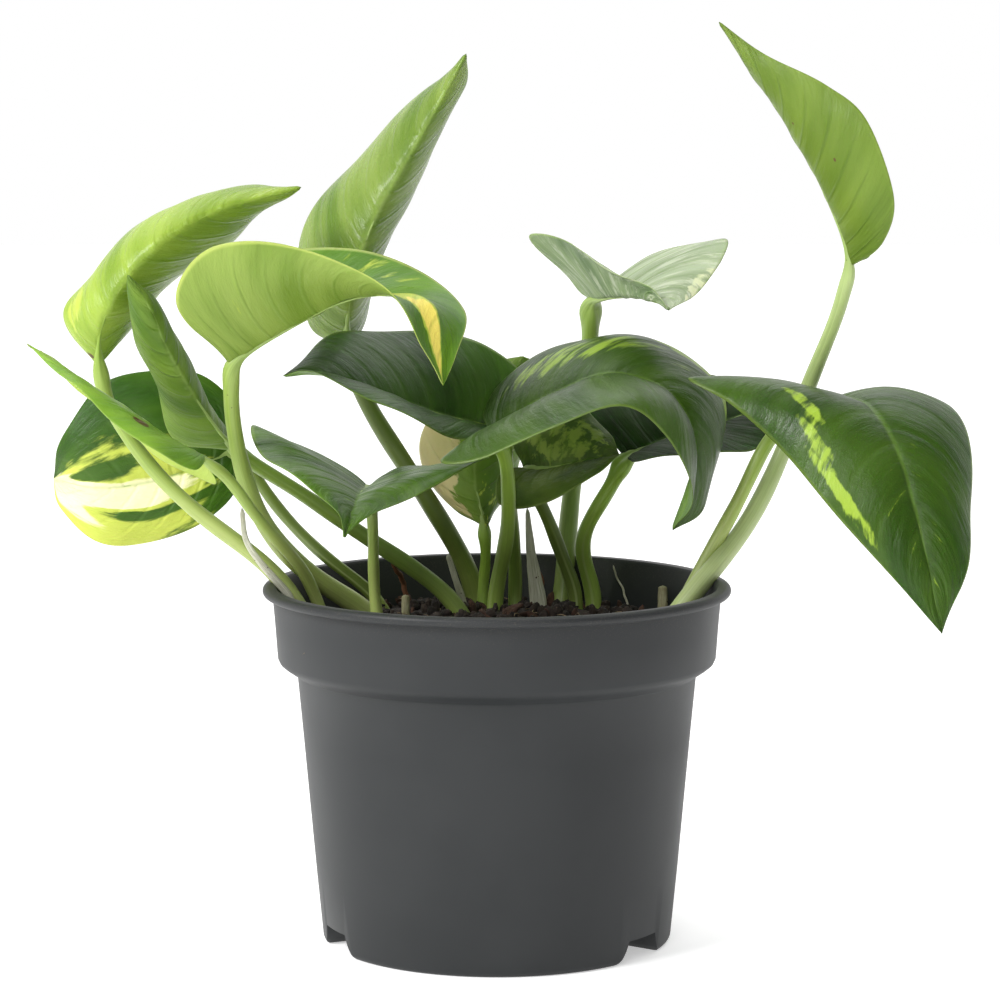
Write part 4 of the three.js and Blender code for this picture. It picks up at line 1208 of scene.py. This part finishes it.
def channel_block(name, angle, margin):
    """A bar with sloping, hollowed sides along one channel, wider than it by `margin`."""
    top = DRAIN_TOP_WIDTH / 2 + margin
    bottom = DRAIN_BOTTOM_WIDTH / 2 + margin
    height = DRAIN_HEIGHT + margin
    flank = [(bottom, -1)]
    for k in range(1, FLANK_STEPS + 1):
        t = k / FLANK_STEPS
        x = (1 - t) ** 2 * bottom + 2 * t * (1 - t) * (top + 1) + t * t * top
        z = (1 - t) ** 2 * -1 + 2 * t * (1 - t) * 0.5 + t * t * height
        flank.append((x, z))
    section = [(-x, z) for x, z in flank] + flank[::-1]
    bpy.ops.object.select_all(action="DESELECT")
    bpy.ops.mesh.primitive_circle_add(vertices=len(section), radius=1, fill_type="NGON")
    block = bpy.context.object
    block.name = name
    start = DRAIN_INNER_RADIUS - margin
    for vertex, (x, z) in zip(block.data.vertices, section):
        vertex.co = Vector((start, x, z)) * MM
    edit_all(block)
    length = BODY_TOP_RADIUS - DRAIN_INNER_RADIUS + margin
    bpy.ops.mesh.extrude_region_move(TRANSFORM_OT_translate={"value": (length * MM, 0, 0)})
    bpy.ops.mesh.select_all(action="SELECT")
    bpy.ops.mesh.normals_make_consistent(inside=False)
    bpy.ops.object.mode_set(mode="OBJECT")
    turn_about_axis(block, angle)
    return block


def turn_about_axis(thing, angle):
    """Turn a shape about the pot's axis and keep its object unturned."""
    pick(thing)
    thing.rotation_euler.z = math.radians(angle)
    bpy.ops.object.transform_apply(location=True, rotation=True, scale=True)


def combine(shape, tool, operation):
    """Join, cut or intersect a shape with a tool, which is used up."""
    pick(shape)
    step = shape.modifiers.new("step", "BOOLEAN")
    step.operation = operation
    step.object = tool
    step.solver = "EXACT"
    bpy.ops.object.modifier_apply(modifier="step")
    bpy.data.objects.remove(tool)


# %% Pot body
def joined(shapes):
    """Several separate shapes as one object, to be used as one tool."""
    bpy.ops.object.select_all(action="DESELECT")
    for shape in shapes:
        shape.select_set(True)
    bpy.context.view_layer.objects.active = shapes[0]
    bpy.ops.object.join()
    return bpy.context.object


def drain_hole(angle):
    """A round bar through the roof of one channel."""
    bpy.ops.object.select_all(action="DESELECT")
    bpy.ops.mesh.primitive_cylinder_add(vertices=32, radius=DRAIN_HOLE_RADIUS * MM, depth=8 * MM,
                                        location=(DRAIN_HOLE_DISTANCE * MM, 0, DRAIN_HEIGHT * MM))
    hole = bpy.context.object
    bpy.ops.object.transform_apply(location=True, rotation=True, scale=True)
    turn_about_axis(hole, angle)
    return hole


pot = spun("plastic_pot", [*outer_outline(), *inner_outline()])
roofs = joined([channel_block("roof", angle, WALL) for angle in DRAIN_ANGLES])
half_wall = WALL / 2
core = spun("core", [
    (0, half_wall), (BODY_BOTTOM_RADIUS - half_wall, half_wall),
    (BODY_TOP_RADIUS - half_wall, STEP_BOTTOM), (0, STEP_BOTTOM),
])
combine(roofs, core, "INTERSECT")
combine(pot, roofs, "UNION")
combine(pot, joined([channel_block("channel", angle, 0) for angle in DRAIN_ANGLES]), "DIFFERENCE")
combine(pot, joined([drain_hole(angle) for angle in DRAIN_ANGLES]), "DIFFERENCE")
pick(pot)
edge = pot.modifiers.new("edge", "BEVEL")
edge.width = EDGE_ROUNDING * MM
edge.segments = 2
edge.limit_method = "ANGLE"
edge.angle_limit = math.radians(50)
bpy.ops.object.modifier_apply(modifier="edge")
bpy.ops.object.shade_smooth_by_angle(angle=math.radians(35))
settle(pot, "pot", "pot")
print("pot faces:", len(pot.data.polygons))


# %% [markdown]
# ## Pot finish
# Recycled grey plastic straight from the mould: satin, a little uneven in its shine where it cooled
# unevenly, with faint upright flow marks and a dusting of soil near the lip.

# %% Pot material
def pot_material():
    """Satin grey moulded plastic."""
    material, tree, shader = new_material("grey_plastic")
    place = coordinates(tree, "Object")
    parts = wire(tree, "ShaderNodeSeparateXYZ", {0: place}).outputs
    flow_place = wire(tree, "ShaderNodeMapping", {0: place, "Scale": (60, 60, 5)}).outputs[0]
    flow = clouded(tree, flow_place, 1.0, 3.0)
    clouds = clouded(tree, place, 35.0, 4.0)
    grain = clouded(tree, place, 3200.0, 2.0)
    colour = mixed(tree, rise(tree, clouds, 0.3, 0.7), rgb(0.019, 0.021, 0.022), rgb(0.025, 0.027, 0.028))
    near_lip = rise(tree, parts[2], (POT_HEIGHT - 10) * MM, POT_HEIGHT * MM)
    dust = maths(tree, "MULTIPLY", near_lip, rise(tree, grain, 0.55, 0.75))
    colour = mixed(tree, maths(tree, "MULTIPLY", dust, 0.35), colour, rgb(0.12, 0.10, 0.08))
    tree.links.new(colour, shader.inputs["Base Color"])
    shine = spread(tree, clouds, (0.3, 0.7), (0.42, 0.52))
    tree.links.new(maths(tree, "MULTIPLY_ADD", flow, 0.06, shine), shader.inputs["Roughness"])
    height = maths(tree, "MULTIPLY_ADD", grain, 0.15, maths(tree, "MULTIPLY", flow, 0.5))
    add_bump(tree, shader, height, 0.15, 0.3 * MM)
    shader.inputs["Specular IOR Level"].default_value = 0.3
    return material


pot.data.materials.clear()
pot.data.materials.append(pot_material())
print("pot finish ready")

# %% [markdown]
# ## Soil
# The pot is filled with peat: dark, loose and crumbly, with brown fibres and a few pale bits.
# Its body is a grid pressed into a disc, roughened with noise and then extruded down to the pot's
# floor. On it lie hundreds of crumbs, bits of bark and fibres. A few of each are modelled and then
# copied, turned and sized at random with a fixed seed, and each kind is joined into one piece.

# %% Soil body
SOIL_LEVEL = 80
SOIL_HUMP = 1.5
SOIL_GRID = 120
SOIL_GAP = 0.35
SOIL_LUMPS = ((1.5, 9, 0.5), (0.9, 3.2, 4.5), (0.45, 1.3, 9.5))
LEVELS_BELOW = (74, 70.5, 9)  # above the pot's step, below it, and over the drainage channels


def soil_radius(height):
    """The radius of the room inside the pot at this height, in mm."""
    outline = [(r, z) for r, z in inner_outline()[1:-1]][::-1]
    radii, heights = [r for r, z in outline], [z for r, z in outline]
    return float(np.interp(height, heights, radii)) - SOIL_GAP


def soil_height(x, y):
    """The height of the soil's surface, in mm. A size of lump has a height, a width and a noise layer."""
    radius = math.hypot(x, y) / soil_radius(SOIL_LEVEL)
    lumps = 0
    for height, width, layer in SOIL_LUMPS:
        lumps += height * noise.noise(Vector((x / width, y / width, layer)))
    return SOIL_LEVEL - 1 + SOIL_HUMP * (1 - radius * radius) + lumps


def disc_place(x, y):
    """A place in the square from -1 to 1 pressed into the round disc."""
    return x * math.sqrt(1 - y * y / 2), y * math.sqrt(1 - x * x / 2)


bpy.ops.object.select_all(action="DESELECT")
bpy.ops.mesh.primitive_grid_add(x_subdivisions=SOIL_GRID, y_subdivisions=SOIL_GRID, size=2)
soil_bed = bpy.context.object
soil_bed.name = "soil_bed"
rim_radius = soil_radius(SOIL_LEVEL)
for vertex in soil_bed.data.vertices:
    x, y = disc_place(vertex.co.x, vertex.co.y)
    vertex.co = Vector((x * rim_radius, y * rim_radius, soil_height(x * rim_radius, y * rim_radius))) * MM
pick(soil_bed)
bpy.ops.object.mode_set(mode="EDIT")
bpy.ops.mesh.select_all(action="DESELECT")
bpy.ops.mesh.select_non_manifold(extend=False)
previous = SOIL_LEVEL
for level in LEVELS_BELOW:
    shrink = soil_radius(level) / soil_radius(previous)
    bpy.ops.mesh.extrude_edges_move(TRANSFORM_OT_translate={"value": (0, 0, (level - previous) * MM)})
    bpy.ops.transform.resize(value=(shrink, shrink, 1), center_override=(0, 0, 0))
    previous = level
bpy.ops.mesh.edge_face_add()
bpy.ops.mesh.select_all(action="SELECT")
bpy.ops.mesh.normals_make_consistent(inside=False)
bpy.ops.object.mode_set(mode="OBJECT")
bpy.ops.object.shade_smooth_by_angle(angle=math.radians(60))
print("soil bed faces:", len(soil_bed.data.polygons))

# %% Crumbs, bark and fibres
CRUMB_SEED = 4
ANY_TURN = (0, 6.283)
NEARLY_FLAT = (-0.3, 0.3)
FIBRE_RINGS = 8
FIBRE_SIDES = 5
FIBRE_RADIUS = 0.10


def crumb_shape(number, stretch):
    """One rough crumb with few faces, about 1 mm across."""
    bpy.ops.object.select_all(action="DESELECT")
    bpy.ops.mesh.primitive_ico_sphere_add(subdivisions=2 if number % 2 else 1, radius=0.5 * MM)
    crumb = bpy.context.object
    for vertex in crumb.data.vertices:
        push = 1 + 0.7 * noise.noise(vertex.co * 1500 + Vector((number * 9.1, 0, 0)))
        vertex.co = Vector((vertex.co.x * stretch, vertex.co.y, vertex.co.z * 0.7)) * push
    return crumb


def scatter(name, shapes, count, sizes, draw, lift=0.3, lying=False):
    """Copies of the shapes on the soil, joined into one piece. Lying ones stay nearly flat."""
    copies = []
    for k in range(count):
        base = shapes[k % len(shapes)]
        copy = base.copy()
        copy.data = base.data.copy()
        angle = draw.uniform(0, 2 * math.pi)
        reach = (rim_radius - 2) * math.sqrt(draw.random())
        x, y = reach * math.cos(angle), reach * math.sin(angle)
        size = draw.uniform(*sizes)
        copy.location = Vector((x, y, soil_height(x, y) + lift * size)) * MM
        copy.rotation_euler = [draw.uniform(*ANY_TURN) for _ in range(3)]
        if lying:
            copy.rotation_euler = [draw.uniform(*turn) for turn in (NEARLY_FLAT, NEARLY_FLAT, ANY_TURN)]
        copy.scale = (size, size, size)
        bpy.context.collection.objects.link(copy)
        copies.append(copy)
    for base in shapes:
        bpy.data.objects.remove(base)
    bpy.ops.object.select_all(action="DESELECT")
    for copy in copies:
        copy.select_set(True)
    bpy.context.view_layer.objects.active = copies[0]
    bpy.ops.object.join()
    heap = bpy.context.object
    heap.name = name
    bpy.ops.object.transform_apply(location=True, rotation=True, scale=True)
    return heap


def fibre_shape(number):
    """One short curled strand, 6 mm long and thin, with few faces."""
    bends = 0.8 * math.sin(number), -0.6 * math.cos(number * 2)
    route = [(0, 0, 0), (2, bends[0], 0.4), (4, bends[1], 0.5), (6, 0.3, 0)]
    centres = line_through(route, np.linspace(0, 1, FIBRE_RINGS))
    tangents, normals = carried_normals(centres, np.array([0.0, 0, 1]), 0)
    return rod_along("fibre", centres, normals, tangents, np.full((FIBRE_RINGS, FIBRE_SIDES), FIBRE_RADIUS))


draw = random.Random(CRUMB_SEED)
crumbs = scatter("soil_crumbs", [crumb_shape(k, 1.2) for k in range(6)], 900, (0.8, 3.2), draw)
bark = scatter("soil_bark", [crumb_shape(k, 2.4) for k in range(4)], 90, (1.2, 2.6), draw)
strands = [fibre_shape(k) for k in range(4)]
fibres = scatter("soil_fibres", strands, 110, (0.5, 1.6), draw, lift=0.4, lying=True)
print("faces of crumbs, bark and fibres:", [len(heap.data.polygons) for heap in (crumbs, bark, fibres)])


# %% Soil materials
def soil_material(name, dark, light, fleck):
    """Damp peat: two browns, mixed coarse and fine, with paler flecks."""
    material, tree, shader = new_material(name)
    place = coordinates(tree, "Object")
    coarse = clouded(tree, place, 260.0, 5.0)
    fine = clouded(tree, place, 1500.0, 3.0)
    colour = mixed(tree, rise(tree, coarse, 0.35, 0.65), dark, light)
    colour = mixed(tree, rise(tree, fine, 0.66, 0.72), colour, fleck)
    tree.links.new(colour, shader.inputs["Base Color"])
    add_bump(tree, shader, fine, 0.8, 0.5 * MM)
    shader.inputs["Roughness"].default_value = 0.9
    return material


PEAT = soil_material("peat", rgb(0.009, 0.006, 0.004), rgb(0.030, 0.019, 0.013), rgb(0.10, 0.075, 0.05))
BARK = soil_material("bark", rgb(0.035, 0.016, 0.009), rgb(0.080, 0.037, 0.021), rgb(0.16, 0.10, 0.06))
STRAW = soil_material("straw", rgb(0.16, 0.11, 0.06), rgb(0.26, 0.19, 0.11), rgb(0.34, 0.28, 0.18))
soil_bed.data.materials.append(PEAT)
for heap, finish in ((crumbs, PEAT), (bark, BARK), (fibres, STRAW)):
    heap.data.materials.clear()
    heap.data.materials.append(finish)
    settle(heap, "soil")
settle(soil_bed, "soil", "soil")

# %% [markdown]
# ## Bits at the foot of the stalks
# Old sheaths dry into papery straps, cut stalks leave stubs, and dead aerial roots hang down brown.
# Each is a rod with its own section: flat and wrinkled for a sheath, round for a stub, thin and crooked
# for a root.

# %% Sheaths, stubs and roots
BITS = {
    "sheath_left": ([(-65, -3, 112), (-64, -4, 104), (-60, -6, 98), (-53, -4, 89)], (0.6, 1.2)),
    "sheath_centre": ([(-13, 27, 96), (-11, 29, 89), (-9, 32, 82)], (0.7, 1.1)),
    "sheath_spike": ([(8, 30, 108), (9, 32, 96), (11, 35, 82)], (0.5, 2.6)),
    "stub_right": ([(44, 31, 87), (44, 30, 81)], (1.2, 1.5)),
    "stub_left": ([(-24, 21, 86), (-24, 20, 81)], (1, 1.2)),
    "root_left": ([(-29, 25, 98), (-27, 26, 93), (-25, 31, 88), (-24, 32, 82)], (0.5, 0.8)),
    "root_right": ([(10, 41, 91), (12, 43, 87), (12, 45, 82)], (0.5, 0.8)),
    "root_pale": ([(31, 43, 91), (33, 43, 86), (35, 39, 81)], (0.22, 0.35)),
}
BIT_DEPTH = 5
BIT_RINGS = 40
BIT_SIDES = 25
KINK = 0.45
KINK_SIZE = 2.5
KINK_SEED = 4


def dry_material(name, pale, dark):
    """Dry plant skin: lengthwise streaks between a pale and a dark colour."""
    material, tree, shader = new_material(name)
    grain = place_group(tree, STALK_FIBRES, {"UV": coordinates(tree, "UV"), "Flecks": 0.8})
    colour = mixed(tree, rise(tree, grain["Fibres"], 0.3, 0.7), pale, dark)
    colour = mixed(tree, grain["Flecks"], colour, rgb(0.08, 0.05, 0.03))
    tree.links.new(colour, shader.inputs["Base Color"])
    add_bump(tree, shader, grain["Fibres"], 0.7, 0.5 * MM)
    shader.inputs["Roughness"].default_value = 0.7
    return material


BIT_LOOKS = {
    "sheath": (rgb(0.66, 0.66, 0.54), rgb(0.40, 0.40, 0.28), 0.45, 0.12),
    "stub": (rgb(0.42, 0.40, 0.24), rgb(0.25, 0.22, 0.12), 0.95, 0.06),
    "root": (rgb(0.24, 0.09, 0.04), rgb(0.10, 0.04, 0.02), 0.9, 0.25),
    "root_pale": (rgb(0.62, 0.60, 0.50), rgb(0.45, 0.42, 0.32), 0.9, 0.1),
}


def make_bit(name, route, radii, number):
    """One sheath, stub or root. Sheaths are flattened, roots are crooked."""
    kind = name.split("_")[0]
    pale, dark, flatness, wrinkle = BIT_LOOKS.get(name, BIT_LOOKS[kind])
    foot = route[-1]
    centres = line_through([*route, (foot[0], foot[1], foot[2] - BIT_DEPTH)], np.linspace(0, 1, BIT_RINGS))
    if kind == "root":
        for i, centre in enumerate(centres):
            centres[i] = centre + np.array(noise.noise_vector(Vector(centre) / KINK_SIZE)) * KINK
    tangents, normals = carried_normals(centres, np.array([0.0, 1, 0.2]), 0)
    angles = np.linspace(0, 2 * math.pi, BIT_SIDES)
    share = np.linspace(0, 1, BIT_RINGS)
    oval = 1 / np.sqrt(np.cos(angles) ** 2 / flatness ** 2 + np.sin(angles) ** 2)
    section = np.interp(share, [0, 1], radii)[:, None] * oval[None, :]
    for i in range(BIT_RINGS):
        for j in range(BIT_SIDES - 1):
            spot = Vector((math.cos(angles[j]) * 2, math.sin(angles[j]) * 2, share[i] * 6 + number * 5))
            section[i, j] *= 1 + wrinkle * noise.noise(spot)
    section[:, -1] = section[:, 0]
    bit = rod_along("dry_" + name, centres, normals, tangents, section)
    bit.data.materials.append(dry_material("dry_" + name, pale, dark))
    settle(bit, "root" if kind == "root" else "dry_sheath", name)
    return bit


noise.seed_set(KINK_SEED)  # without it the roots would bend differently in every run
for number, (bit_name, (route, radii)) in enumerate(BITS.items()):
    make_bit(bit_name, route, radii, number)
print("bits:", len(BITS))

# %% [markdown]
# ## Floor
# A wide pale sheet under the pot. It belongs to the studio, not to the plant.

# %% Floor
FLOOR_GLOW = 0.45
FLOOR_RADIUS = 4
bpy.ops.object.select_all(action="DESELECT")
bpy.ops.mesh.primitive_circle_add(vertices=96, radius=FLOOR_RADIUS, fill_type="NGON", location=(0, 0, 0))
floor = bpy.context.object
floor.name = "floor"
floor_finish, floor_tree, floor_shader = new_material("pale_floor")
floor_shader.inputs["Base Color"].default_value = rgb(0.85, 0.85, 0.85)
floor_shader.inputs["Emission Color"].default_value = rgb(1, 1, 1)
floor_shader.inputs["Emission Strength"].default_value = FLOOR_GLOW
floor_shader.inputs["Roughness"].default_value = 0.9
floor.data.materials.append(floor_finish)
